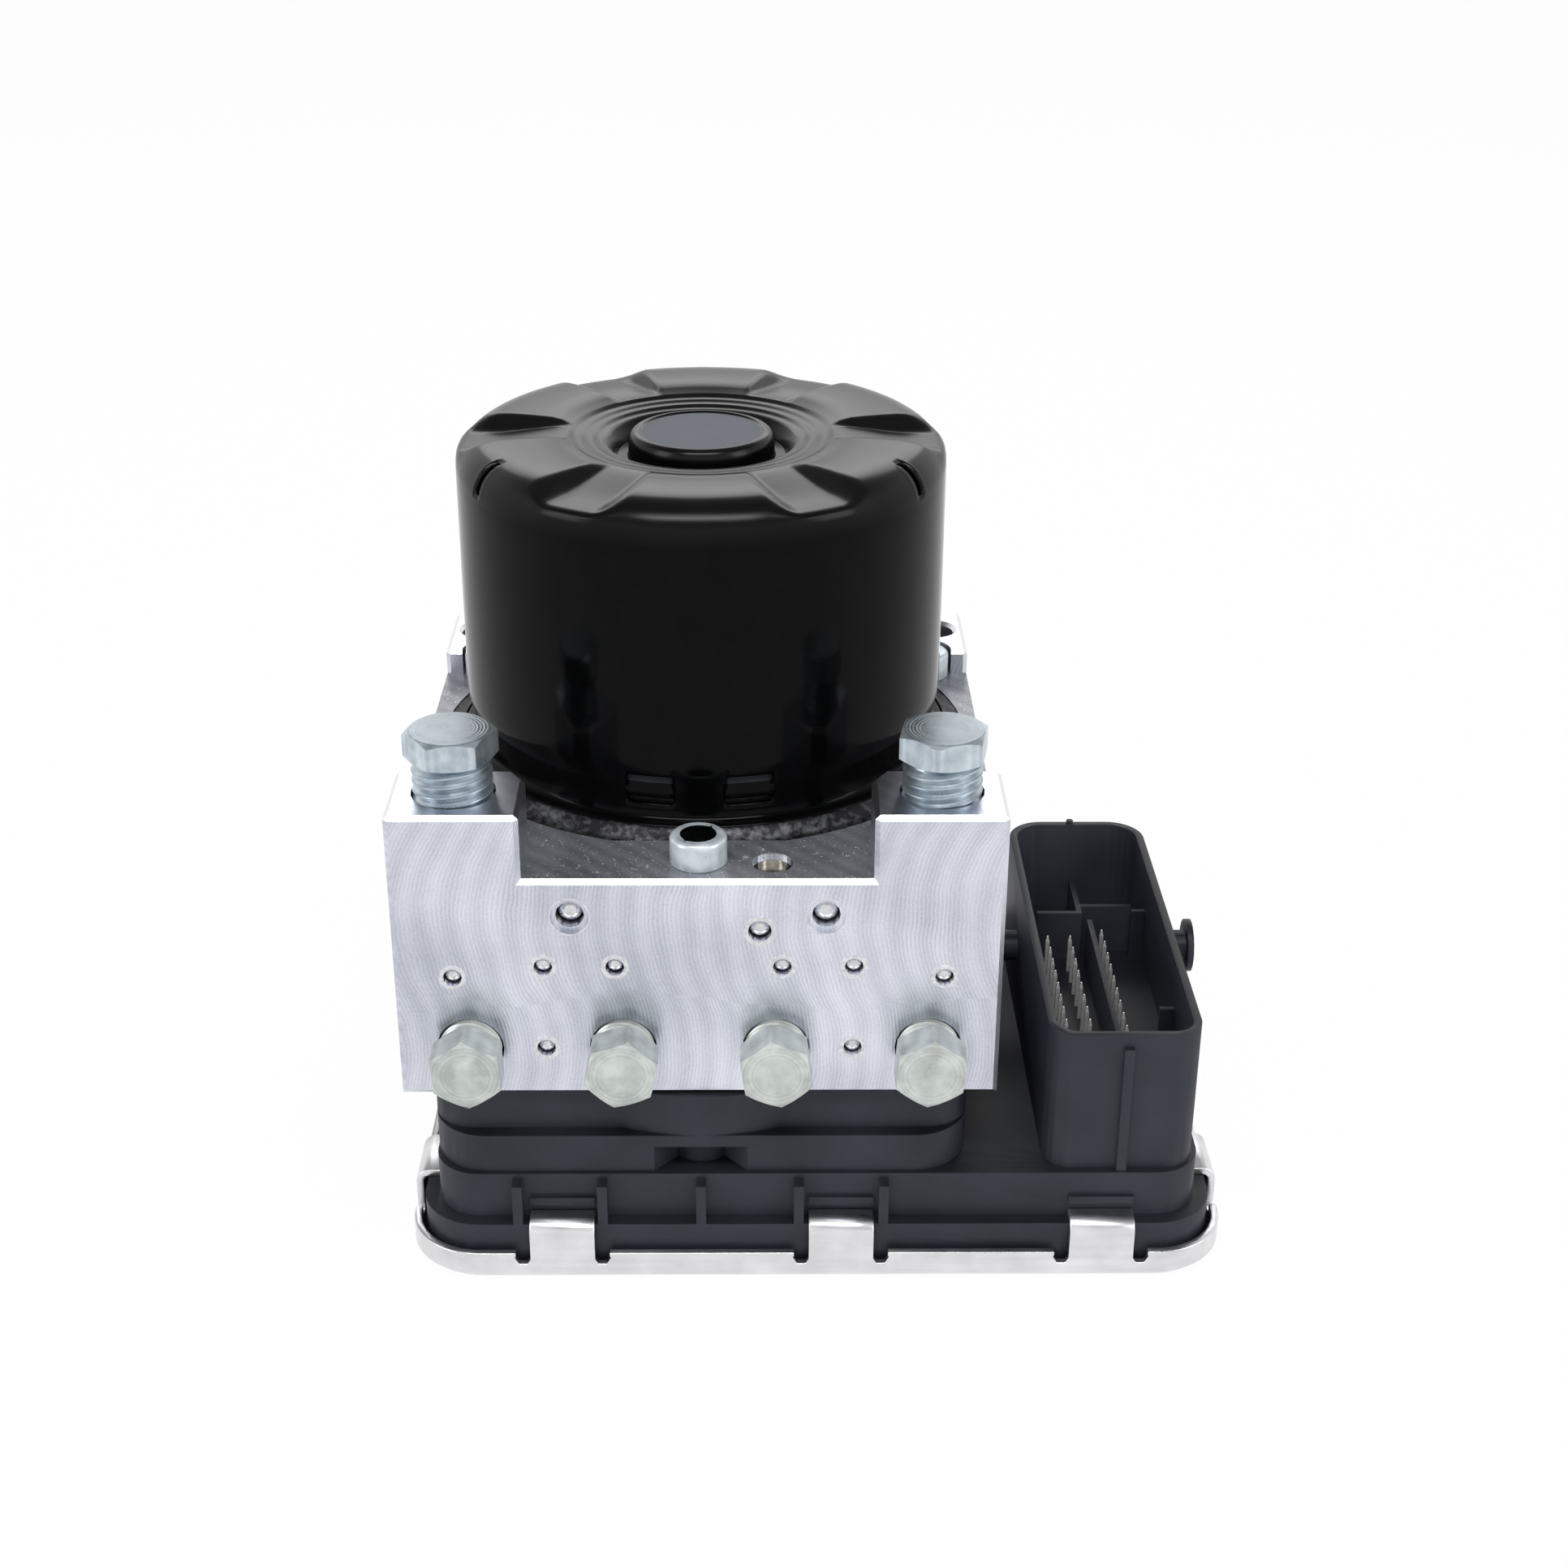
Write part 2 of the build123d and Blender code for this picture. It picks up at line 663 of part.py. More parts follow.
def motor_can():
    """The deep-drawn steel can with its neck, flange, ribbed end, boss, slots and windows."""
    neck = can_radius - can_neck
    shoulder = can_top - can_shoulder
    groove = can_top - boss_groove_depth
    rib_root = can_top - rib_root_drop
    valley = can_top - valley_drop
    end = [(can_radius, flange_top + can_neck_height), (can_radius, shoulder),
           (can_radius - end_corner, valley - end_corner / 2),
           (can_radius - can_shoulder - lobe_rise / 2, valley), (lobe_inner_radius, rib_root),
           (boss_groove_radius + boss_slope, rib_root - boss_slope), (boss_groove_radius, groove),
           (boss_radius, groove), (boss_radius, can_top - boss_slope), (boss_face_radius, can_top)]
    outside = [(0, flange_base), (flange_radius, flange_base), (flange_radius, flange_top),
               (neck, flange_top), (neck, flange_top + can_neck_height * neck_straight)]
    body = turned(outside + end + [(0, can_top)])
    crest = valley + lobe_rise
    arc_centre = can_radius - can_shoulder
    round_off = [(arc_centre + can_shoulder * math.sin(math.radians(a)),
                  shoulder + (crest - shoulder) * math.cos(math.radians(a))) for a in shoulder_steps]
    lobe = [(lobe_inner_radius, valley - lobe_root), (lobe_inner_radius, rib_root)] + round_off
    for i in range(lobe_count):
        start = 360.0 / lobe_count * i - 90 - lobe_angle / 2
        body += turned(lobe, lobe_angle, start)
    inner = can_inner_radius
    hollow = [(0, flange_base - 1), (inner - can_neck, flange_base - 1),
              (inner - can_neck, flange_top), (inner, flange_top + can_neck_height),
              (inner, shoulder), (inner - end_corner, valley - can_sheet),
              (boss_groove_radius + can_sheet, groove - can_sheet),
              (upper_bearing_radius + bearing_fit, groove - can_sheet),
              (upper_bearing_radius + bearing_fit, can_top - can_sheet), (0, can_top - can_sheet)]
    body -= turned(hollow)

    for angle in vent_slot_angles:
        slot = slab(can_radius - vent_slot_length, can_radius + 1, -vent_slot_width / 2,
                    vent_slot_width / 2, shoulder - 2, can_top + 1)
        body -= Rot(0, 0, angle) * slot

    # Windows lanced in the neck; their tabs lean in over the brush plate's rim
    sill = flange_top + window_sill
    for i in range(window_sets * 2):
        angle = 360.0 / window_sets * (i // 2) - 90 + (window_spread if i % 2 else -window_spread)
        opening = slab(inner - can_neck - 3, can_radius + 1, -window_width / 2, window_width / 2, sill,
                       sill + window_height)
        half_tab = window_width / 2 - window_tab_gap
        top = can_radius - can_neck * neck_straight
        low = top - window_tab_lean
        high = sill + window_height + window_tab_gap
        tab = Polyline((top, 0, high), (low, 0, sill + window_tab_gap),
                       (low - window_tab_thickness, 0, sill + window_tab_gap),
                       (top - window_tab_thickness, 0, high), close=True)
        tab = Pos(0, half_tab, 0) * extrude(make_face(tab), amount=2 * half_tab, dir=(0, -1, 0))
        body -= Rot(0, 0, angle) * opening
        body += Rot(0, 0, angle) * tab
    return body


def motor_seal():
    """The rubber ring between the brush plate's rim and the block."""
    outer = can_inner_radius - can_neck - seal_gap
    return rod(0, 0, flange_base, plate_base, outer) - rod(0, 0, flange_base - 1, plate_base + 1,
                                                           outer - seal_width)


def motor_magnets():
    """Magnet shells bonded to the inside of the can."""
    middle = (core_base + core_top) / 2
    outer = can_inner_radius - press_clearance
    section = [(outer - magnet_thickness, middle - magnet_height / 2), (outer, middle - magnet_height / 2),
               (outer, middle + magnet_height / 2), (outer - magnet_thickness, middle + magnet_height / 2)]
    step = 360.0 / magnet_count
    return [turned(section, magnet_arc, step * i - magnet_arc / 2) for i in range(magnet_count)]


def brush_span():
    """Inner and outer radius of a brush against the commutator."""
    inner = commutator_radius + brush_gap
    return inner, inner + brush_length


def brush_plate():
    """The moulded plate that closes the can and carries the brush boxes."""
    plate = rod(0, 0, plate_base, plate_top, can_inner_radius - can_neck - brush_plate_gap)
    plate -= rod(0, 0, plate_base - 1, plate_top + 1, brush_plate_hole)
    inner, outer = brush_span()
    box_end = outer + brush_spring_length + brush_box_wall
    half = brush_width / 2
    base = plate_top + brush_box_wall
    for side in (-1, 1):
        low, high = sorted((side * (inner + brush_box_setback), side * box_end))
        box = slab(low, high, -half - brush_box_wall, half + brush_box_wall, plate_top,
                   base + brush_height + brush_box_wall)
        low, high = sorted((side * inner, side * (box_end - brush_box_wall)))
        box -= slab(low, high, -half - brush_gap, half + brush_gap, base, base + brush_height + brush_gap)
        plate += box
    return plate


def carbon_brushes():
    """The two carbon brushes."""
    inner, outer = brush_span()
    base = plate_top + brush_box_wall
    solids = []
    for side in (-1, 1):
        low, high = sorted((side * inner, side * outer))
        solids.append(slab(low, high, -brush_width / 2, brush_width / 2, base, base + brush_height))
    return solids


def brush_springs():
    """Bent strip springs behind the brushes."""
    outer = brush_span()[1]
    base = plate_top + brush_box_wall + brush_height / 4
    solids = []
    for side in (-1, 1):
        end = outer + brush_spring_length
        half = brush_width / 2 - brush_spring_strip
        strip = Polyline((outer, -brush_spring_strip), (outer, brush_spring_strip), (end, half),
                         (end, half - brush_spring_strip), (outer + 2 * brush_spring_strip, 0),
                         (end, brush_spring_strip - half), (end, -half), close=True)
        spring = Pos(0, 0, base) * extrude(make_face(strip), amount=brush_height / 2)
        solids.append(Rot(0, 0, 0 if side > 0 else 180) * spring)
    return solids


def armature_core():
    """The slotted lamination stack."""
    core = rod(0, 0, core_base, core_top, core_radius)
    core -= bar(0, 0, core_base - 1, core_top + 1, shaft_radius + press_clearance, shaft_sides,
                around=True)
    pocket = slab(slot_root_radius, core_radius - slot_lip, -slot_width / 2, slot_width / 2,
                  core_base - 1, core_top + 1)
    pocket += slab(slot_root_radius + 1, core_radius + 1, -slot_mouth / 2, slot_mouth / 2,
                   core_base - 1, core_top + 1)
    for i in range(slot_count):
        core -= Rot(0, 0, 360.0 / slot_count * i) * pocket
    return core


def armature_windings():
    """The copper coils: bars in the slots joined by the end turns."""
    coil_side = slab(slot_root_radius + winding_gap, core_radius - slot_lip - winding_gap,
                     -slot_width / 2 + winding_gap, slot_width / 2 - winding_gap,
                     core_base - winding_overlap, core_top + winding_overlap)
    lower = bar(0, 0, core_base - end_turn_height, core_base, end_turn_outer, shaft_sides)
    upper = bar(0, 0, core_top, core_top + end_turn_height, end_turn_outer, shaft_sides)
    windings = lower + upper
    for i in range(slot_count):
        windings += Rot(0, 0, 360.0 / slot_count * i) * coil_side
    inner = slot_root_radius - end_turn_step
    length = end_turn_height + 1
    return windings - bar(0, 0, core_base - length, core_base, inner, shaft_sides) - bar(
        0, 0, core_top, core_top + length, inner, shaft_sides)


def commutator():
    """The copper commutator on the shaft."""
    drum = tube(0, 0, commutator_base, commutator_base + commutator_height, commutator_radius,
                shaft_radius + press_clearance, shaft_sides)
    half = commutator_groove_width / 2
    groove = slab(commutator_radius - commutator_groove_depth, commutator_radius + 1, -half, half,
                  commutator_base - 1, commutator_base + commutator_height + 1)
    for i in range(slot_count):
        drum -= Rot(0, 0, 360.0 / slot_count * (i + 0.5)) * groove
    return drum


def motor_shaft():
    """The shaft from the can's boss down to the eccentric."""
    body = bar(0, 0, chamber_base + eccentric_room, upper_bearing_base - shaft_end_gap,
               shaft_radius, shaft_sides)
    return body + bar(0, 0, upper_bearing_base - 1, upper_bearing_top - shaft_end_gap,
                      upper_journal_radius - journal_clearance, shaft_sides)


def upper_bearing():
    """The bearing in the can's boss."""
    return tube(0, 0, upper_bearing_base, upper_bearing_top, upper_bearing_radius,
                upper_journal_radius, shaft_sides)


def lower_bearing():
    """The bearing at the mouth of the eccentric chamber."""
    return tube(0, 0, flange_base - lower_bearing_width, flange_base, lower_bearing_radius,
                shaft_radius + journal_clearance, shaft_sides)


def eccentric_bush():
    """The bush whose outside runs off the shaft's centre and drives the pistons."""
    low = pump_z - eccentric_bearing_width / 2
    high = pump_z + eccentric_bearing_width / 2
    bush = bar(0, -eccentric_throw, low, high, eccentric_radius, shaft_sides)
    return bush - bar(0, 0, low - 1, high + 1, shaft_radius + press_clearance, shaft_sides,
                      around=True)


def eccentric_bearing():
    """The needle bearing ring around the eccentric bush."""
    low = pump_z - eccentric_bearing_width / 2
    high = pump_z + eccentric_bearing_width / 2
    return tube(0, -eccentric_throw, low, high, eccentric_bearing_radius,
                eccentric_radius + press_clearance, shaft_sides)


def motor_lead():
    """The insulating post that brings the motor's supply through the block."""
    return bar(0, lead_y, board_seat + lead_blade_length, plate_base, lead_radius)


def lead_blades():
    """The two copper blades below the post, down to the board."""
    return [slab(side * lead_blade_spacing / 2 - lead_blade_thickness / 2,
                 side * lead_blade_spacing / 2 + lead_blade_thickness / 2,
                 lead_y - lead_blade_width / 2, lead_y + lead_blade_width / 2, board_seat,
                 board_seat + lead_blade_length) for side in (-1, 1)]


def valves(places):
    """Sealed solenoid valves: a body staked in the block and a dome that enters its coil."""
    solids = []
    for x, y in places:
        body = bar(x, y, block_base, block_base + valve_depth, valve_body_radius)
        solids.append(body + bar(x, y, web_top + coil_headroom, block_base, valve_dome_radius))
    return solids


def coil_yokes():
    """Steel strap frames around the coils."""
    half = coil_width / 2
    solids = []
    for x, y in inlet_valve_places + outlet_valve_places:
        strap = slab(x - half, x + half, y - half, y + half, web_top, web_top + coil_height)
        strap -= slab(x - half + yoke_sheet, x + half - yoke_sheet, y - half - 1, y + half + 1,
                      web_top + yoke_sheet, web_top + coil_height - yoke_sheet)
        solids.append(strap - bar(x, y, web_top - 1, web_top + coil_height + 1,
                                  valve_dome_radius + coil_bore_gap, around=True))
    return solids


def coil_windings():
    """Wound spools inside the strap frames."""
    solids = []
    for x, y in inlet_valve_places + outlet_valve_places:
        solids.append(tube(x, y, web_top + yoke_sheet, web_top + coil_height - yoke_sheet,
                           winding_radius, valve_dome_radius + coil_bore_gap))
    return solids


def coil_pins():
    """Coil terminals, moulded into the web and soldered to the board."""
    half = coil_pin_width / 2
    return [slab(x + side * coil_pin_spread / 2 - half, x + side * coil_pin_spread / 2 + half, y - half,
                 y + half, board_seat, web_top)
            for x, y in inlet_valve_places + outlet_valve_places for side in (-1, 1)]


def ecu_housing():
    """The control unit moulding: skirt, tray, coil box, screw bosses, tower and lever pegs."""
    body = tray_outline(0, ledge_height, tray_top)
    body += tray_outline(ledge_width, skirt_foot, ledge_height)
    body += coil_box_outline(0, tray_top, block_base)

    # Front wall of the coil box: a deeper skirt below a ledge, a bulge round the front screw that
    # comes out flush with the skirt, and a recess under the bulge that narrows towards its back
    front = -coil_box_front - skirt_step
    skirt_top = block_base - skirt_drop
    body += rounded_slab(-coil_box_half_width, coil_box_half_width, front, 0, tray_top - 1, skirt_top,
                         coil_box_corner + skirt_step)
    reach = (bulge_half_width ** 2 + skirt_step ** 2) / (2 * skirt_step)
    bulge = rod(0, front + reach, block_base - bulge_drop, block_base, reach)
    body += bulge & slab(-bulge_half_width, bulge_half_width, front - 1, -coil_box_front + 1,
                         block_base - bulge_drop, block_base)
    recess = Polyline((-recess_mouth / 2, front - 0.1), (-recess_back / 2, front + recess_depth),
                      (recess_back / 2, front + recess_depth), (recess_mouth / 2, front - 0.1),
                      close=True)
    body -= Pos(0, 0, tray_top) * extrude(make_face(recess),
                                          amount=block_base - bulge_drop - tray_top)

    # Connector tower with its pegs, front rib and nub
    body += tower_outline(0, tray_top - 1, tower_top)
    rib_y = -tower_front - tower_rib_depth
    body += slab(tower_rib_x - rib_width / 2, tower_rib_x + rib_width / 2, rib_y, -tower_front + 1,
                 tray_top - 1, tower_top - tower_rib_top_gap)
    peg_z = tower_top - peg_below_rim
    for wall, way in ((tower_left, -1), (tower_right, 1)):
        end = wall + way * peg_length
        body += rod_along_x(wall - way * tower_wall / 2, end, peg_y, peg_z, peg_radius)
        body += rod_along_x(end - way * peg_disc_thickness, end, peg_y, peg_z, peg_disc_radius)
    nub_y = tower_back - tower_wall / 2
    body += rod(nub_x, nub_y, tower_top - nub_rise, tower_top + nub_rise, nub_radius)

    # Ribs on the tray's front wall, and lead-in bars above the clips
    for x in clip_places_front:
        body += slab(x - clip_width / 2, x + clip_width / 2, -tray_front - lead_in_depth,
                     -tray_front + 1, ledge_height + lead_in_rise,
                     ledge_height + lead_in_rise + lead_in_height)
    for x in rib_places:
        body += slab(x - rib_width / 2, x + rib_width / 2, -tray_front - ledge_width, -tray_front + 1,
                     ledge_height - root_depth, tray_top - rib_top_gap)

    # Coil well, connector cavity and the board's room below
    body -= coil_box_outline(-coil_box_wall, web_top, block_base + 1)
    body -= tower_outline(tower_wall, tower_floor, tower_top + 1)
    shelf = ledge_width - housing_wall
    body -= tray_outline(shelf, skirt_foot - 1, board_seat)
    body -= tray_outline(shelf - board_shelf, board_seat - 1, web_bottom)
    body -= slab(coil_box_half_width, tray_right - housing_wall, -tray_front + tray_corner,
                 tray_back - tray_corner, web_bottom - 1, tray_top - housing_wall)
    body -= slab(tower_left + tower_corner_front, tower_right - 2 * tower_wall,
                 -tower_front + tower_corner_front, tower_back - tower_corner_front, web_bottom - 1,
                 tower_floor - tower_floor_thickness)

    # Screw bosses and insert holes, gasket groove and the hole for the motor's post
    for x, y in screw_places:
        body += bar(x, y, web_top - web_thickness / 2, block_base, screw_boss_radius, shaft_sides)
    body -= gasket_ring(0, block_base - gasket_height, block_base + 1)
    for x, y in screw_places:
        body -= bar(x, y, block_base - insert_length, block_base + 1, insert_diameter / 2 + insert_gap,
                    around=True)
    body -= bar(0, lead_y, web_bottom - 1, block_base + 1, lead_radius + 2 * lead_gap, around=True)

    # Dividers and keys in the connector
    divider_top = tower_top - divider_top_gap
    base = tower_floor - root_depth
    half = divider_thickness / 2
    body += slab(divider_x - half, divider_x + half, -divider_front, -divider_back, base, divider_top)
    body += slab(tower_left + cross_left_gap, middle_post_x, cross_left_y - half,
                 cross_left_y + half, base, divider_top)
    body += slab(middle_post_x, tower_right - cross_right_gap, cross_right_y - half,
                 cross_right_y + half, base, divider_top)
    body += slab(middle_post_x - half, middle_post_x + half, cross_left_y - half,
                 cross_left_y + middle_post_length, base, divider_top)
    for y in key_places:
        body += slab(tower_right - tower_wall - key_depth, tower_right - tower_wall + root_depth,
                     y - half, y + half, base, divider_top)
        body += slab(tower_left + tower_wall - root_depth, tower_left + tower_wall + key_depth / 2,
                     y - half, y + half, base, divider_top)
    return body


def gasket_ring(gap, z0, z1):
    """The gasket's path along the coil box wall and round the outside of the screws."""
    outer = coil_box_outline(-gasket_inset - gap, z0, z1)
    inner = coil_box_outline(-gasket_inset - gasket_width + gap, z0 - 1, z1 + 1)
    for x, y in screw_places:
        outer += bar(x, y, z0, z1, screw_boss_radius - gasket_inset - gap, shaft_sides)
        inner += bar(x, y, z0 - 1, z1 + 1, screw_boss_radius - gasket_inset - gasket_width + gap,
                     shaft_sides)
    return outer - inner


def housing_gasket():
    """The rubber gasket in the coil box's top groove."""
    return gasket_ring(gasket_gap, block_base - gasket_height, block_base)


def connector_pins():
    """Tinned pins moulded into the connector's floor, down to the board."""
    solids = []
    for x, y in pin_rows:
        for i in range(pins_per_row):
            shank = slab(x - pin_width / 2, x + pin_width / 2, y - pin_pitch * i - pin_width / 2,
                         y - pin_pitch * i + pin_width / 2, board_seat, pin_top - pin_tip)
            square = Pos(x, y - pin_pitch * i, pin_top - pin_tip) * Rectangle(pin_width, pin_width)
            tip = Pos(x, y - pin_pitch * i, pin_top) * Rectangle(pin_width / 3, pin_width / 3)
            solids.append(shank + loft([square, tip], ruled=True))
    return solids


def circuit_board():
    """The bare board, seated against the housing's shelf."""
    edge = ledge_width - housing_wall - board_edge_gap
    return tray_outline(edge, board_seat - board_thickness, board_seat)


def board_parts():
    """Packaged chips on the board's upper face."""
    return [slab(x - w / 2, x + w / 2, y - d / 2, y + d / 2, board_seat, board_seat + h)
            for x, y, w, d, h in board_chips]


def board_capacitors():
    """Smoothing capacitors that stand on the board."""
    return [bar(x, y, board_seat, board_seat + capacitor_height, capacitor_radius, shaft_sides)
            for x, y in capacitor_places]


def cover_seal():
    """The sealant bead under the skirt."""
    bead = tray_outline(cover_offset - cover_bend, cover_sheet, skirt_foot)
    return bead - tray_outline(ledge_width - housing_wall, cover_sheet - 1, skirt_foot + 1)


def clip(width, rise, reach):
    """One bent clip: stands at the origin, its outer face on y = 0, and leans towards +Y."""
    hook = slab(-width / 2, width / 2, 0, reach, 0, rise)
    hook = fillet(hook.edges().filter_by(Axis.X).sort_by(lambda e: e.center().Z - e.center().Y)[-1],
                  clip_bend)
    inside = slab(-width / 2 - 1, width / 2 + 1, cover_sheet, reach + 1, -1, rise - cover_sheet)
    corner = inside.edges().filter_by(Axis.X).sort_by(lambda e: e.center().Z - e.center().Y)[-1]
    return hook - fillet(corner, clip_bend - cover_sheet)


def base_cover():
    """The stamped aluminium cover with its rim, bends and clips."""
    outer = tray_outline(cover_offset, 0, cover_rim_height)
    outer = chamfer(outer.edges().group_by(Axis.Z)[0], cover_bend / 2)
    inner = tray_outline(cover_offset - cover_sheet, cover_sheet, cover_rim_height + 1)
    inner = chamfer(inner.edges().group_by(Axis.Z)[0], (cover_bend - cover_sheet) / 2)
    body = outer - inner
    rise = ledge_height + cover_sheet - (cover_rim_height - clip_relief)
    reach = cover_offset - clip_end_gap
    front = -tray_front - cover_offset
    back = tray_back + cover_offset
    left = -tray_left - cover_offset
    right = tray_right + cover_offset
    foot = cover_rim_height - clip_relief
    spots = [Pos(x, front, foot) for x in clip_places_front]
    spots += [Pos(x, back, foot) * Rot(0, 0, 180) for x in clip_places_front]
    spots += [Pos(left, clip_side_y, foot) * Rot(0, 0, -90), Pos(right, clip_side_y, foot) * Rot(0, 0, 90)]
    for spot in spots:
        for side in (-1, 1):
            relief = RegularPolygon(clip_relief_radius, 6, major_radius=False)
            x = side * (clip_width / 2 + clip_relief_radius)
            relief = Plane.XZ * Pos(x, 0) * relief
            relief = Pos(0, 2 * cover_sheet, clip_relief_radius) * extrude(relief, amount=3 * cover_sheet)
            slit = slab(x - clip_relief_radius, x + clip_relief_radius, -cover_sheet, 2 * cover_sheet,
                        clip_relief_radius, clip_relief + 1)
            body -= spot * relief
            body -= spot * slit
        body += spot * clip(clip_width, rise, reach)
    return body


os.makedirs("parts", exist_ok=True)
save("hydraulic_block", hydraulic_block())
save("outlet_plugs", outlet_plugs())
save("inlet_plugs", inlet_plugs())
save("sealing_balls_large", sealing_balls(ball_places_large, ball_large))
save("sealing_ball_medium", sealing_balls(ball_places_medium, ball_medium))
save("sealing_balls_small", sealing_balls(ball_places_small, ball_small))
save("vent_cap", vent_cap())
save("vent_snap_ring", vent_snap_ring())
save("housing_screws", housing_screws())
save("threaded_inserts", threaded_inserts())
for name, solid in zip(("pump_piston_left", "pump_piston_right"), pump_pistons()):
    save(name, solid)
save("pump_springs", pump_springs())
save("pump_caps", pump_caps())
for name, solid in zip(("accumulator_piston_left", "accumulator_piston_right"), accumulator_pistons()):
    save(name, solid)
save("accumulator_springs", accumulator_springs())
save("accumulator_caps", accumulator_caps())
save("motor_can", motor_can())
save("motor_seal", motor_seal())
save("motor_magnets", motor_magnets())
save("brush_plate", brush_plate())
save("carbon_brushes", carbon_brushes())
save("brush_springs", brush_springs())
save("armature_core", armature_core())
save("armature_windings", armature_windings())
save("commutator", commutator())
save("motor_shaft", motor_shaft())
save("upper_bearing", upper_bearing())
save("lower_bearing", lower_bearing())
save("eccentric_bush", eccentric_bush())
save("eccentric_bearing", eccentric_bearing())
save("motor_lead", motor_lead())
save("lead_blades", lead_blades())
save("inlet_valves", valves(inlet_valve_places))
save("outlet_valves", valves(outlet_valve_places))
save("coil_yokes", coil_yokes())
save("coil_windings", coil_windings())
save("coil_pins", coil_pins())
save("ecu_housing", ecu_housing())
save("housing_gasket", housing_gasket())
save("connector_pins", connector_pins())
save("circuit_board", circuit_board())
save("board_chips", board_parts())
save("board_capacitors", board_capacitors())
save("cover_seal", cover_seal())
save("base_cover", base_cover())
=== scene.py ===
import math

import bmesh
import bpy
from mathutils import Matrix, Vector


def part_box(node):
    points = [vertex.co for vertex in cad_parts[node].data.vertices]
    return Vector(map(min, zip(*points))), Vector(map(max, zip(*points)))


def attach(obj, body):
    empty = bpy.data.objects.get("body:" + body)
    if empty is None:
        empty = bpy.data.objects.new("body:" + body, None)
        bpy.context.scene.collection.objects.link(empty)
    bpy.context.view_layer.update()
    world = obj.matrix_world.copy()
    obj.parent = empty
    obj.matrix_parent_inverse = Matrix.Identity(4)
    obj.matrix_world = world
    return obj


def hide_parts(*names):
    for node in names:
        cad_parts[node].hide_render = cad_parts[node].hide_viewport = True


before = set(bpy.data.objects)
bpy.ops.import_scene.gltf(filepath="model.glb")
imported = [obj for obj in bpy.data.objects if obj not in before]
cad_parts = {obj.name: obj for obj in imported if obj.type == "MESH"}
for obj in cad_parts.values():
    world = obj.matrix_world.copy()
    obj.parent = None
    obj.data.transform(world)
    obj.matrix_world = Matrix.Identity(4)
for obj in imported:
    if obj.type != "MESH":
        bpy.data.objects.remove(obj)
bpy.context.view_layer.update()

# The studio: a camera at the photograph's place, soft lamps overhead and at both sides, and a
# pale floor that the module stands on. Nothing here belongs to the module.

bpy.context.scene.view_settings.view_transform = "Standard"
camera_data = bpy.data.cameras.new("camera")
camera_data.sensor_width = 36.0
camera_data.lens = 54.27
camera_data.clip_start = 0.01
camera = bpy.data.objects.new("camera", camera_data)
bpy.context.scene.collection.objects.link(camera)
bpy.context.scene.camera = camera
pitch, yaw, roll = math.radians(25.96), math.radians(0.726), math.radians(0.282)
ahead = Vector((math.sin(yaw) * math.cos(pitch), math.cos(yaw) * math.cos(pitch), -math.sin(pitch)))
level = Vector((math.cos(yaw), -math.sin(yaw), 0))
above = level.cross(ahead)
across = level * math.cos(roll) + above * math.sin(roll)
upward = above * math.cos(roll) - level * math.sin(roll)
camera_place = (0.00863, -0.35496, 0.22921)
camera.matrix_world = Matrix.Translation(camera_place) @ Matrix(
    (across, upward, -ahead)).transposed().to_4x4()

lamps = {"overhead": ((0.0, -0.36, 0.78), (0.55, 0.26), 2.2),
         "strip": ((0.0, -0.30, 0.62), (0.46, 0.03), 0.7),
         "left_side": ((-0.60, -0.28, 0.36), (0.28, 0.5), 1.3),
         "right_side": ((0.60, -0.28, 0.36), (0.28, 0.5), 1.3),
         "behind": ((0.0, 0.70, 0.50), (0.7, 0.3), 1.2)}
for name, (place, size, power) in lamps.items():
    lamp = bpy.data.lights.new(name, "AREA")
    lamp.shape = "RECTANGLE"
    lamp.size, lamp.size_y = size
    lamp.energy = power
    holder = bpy.data.objects.new(name, lamp)
    bpy.context.scene.collection.objects.link(holder)
    holder.location = place
    aim = Vector((0, 0, 0.06)) - Vector(place)
    holder.rotation_euler = aim.to_track_quat("-Z", "Y").to_euler()


def seen_directly(nodes, links):
    """One where a ray comes from the camera, a mirror surface or clear plastic, else nought."""
    path = nodes.new("ShaderNodeLightPath")
    first = nodes.new("ShaderNodeMath")
    first.operation = "MAXIMUM"
    links.new(path.outputs["Is Camera Ray"], first.inputs[0])
    links.new(path.outputs["Is Glossy Ray"], first.inputs[1])
    second = nodes.new("ShaderNodeMath")
    second.operation = "MAXIMUM"
    links.new(first.outputs[0], second.inputs[0])
    links.new(path.outputs["Is Transmission Ray"], second.inputs[1])
    return second.outputs[0]


world = bpy.data.worlds.new("studio")
bpy.context.scene.world = world
world.use_nodes = True
nodes, links = world.node_tree.nodes, world.node_tree.links
dim, bright, pick = (nodes.new(kind) for kind in (
    "ShaderNodeBackground", "ShaderNodeBackground", "ShaderNodeMixShader"))
dim.inputs["Strength"].default_value = 0.45
for background in (dim, bright):
    background.inputs["Color"].default_value = (1, 1, 1, 1)
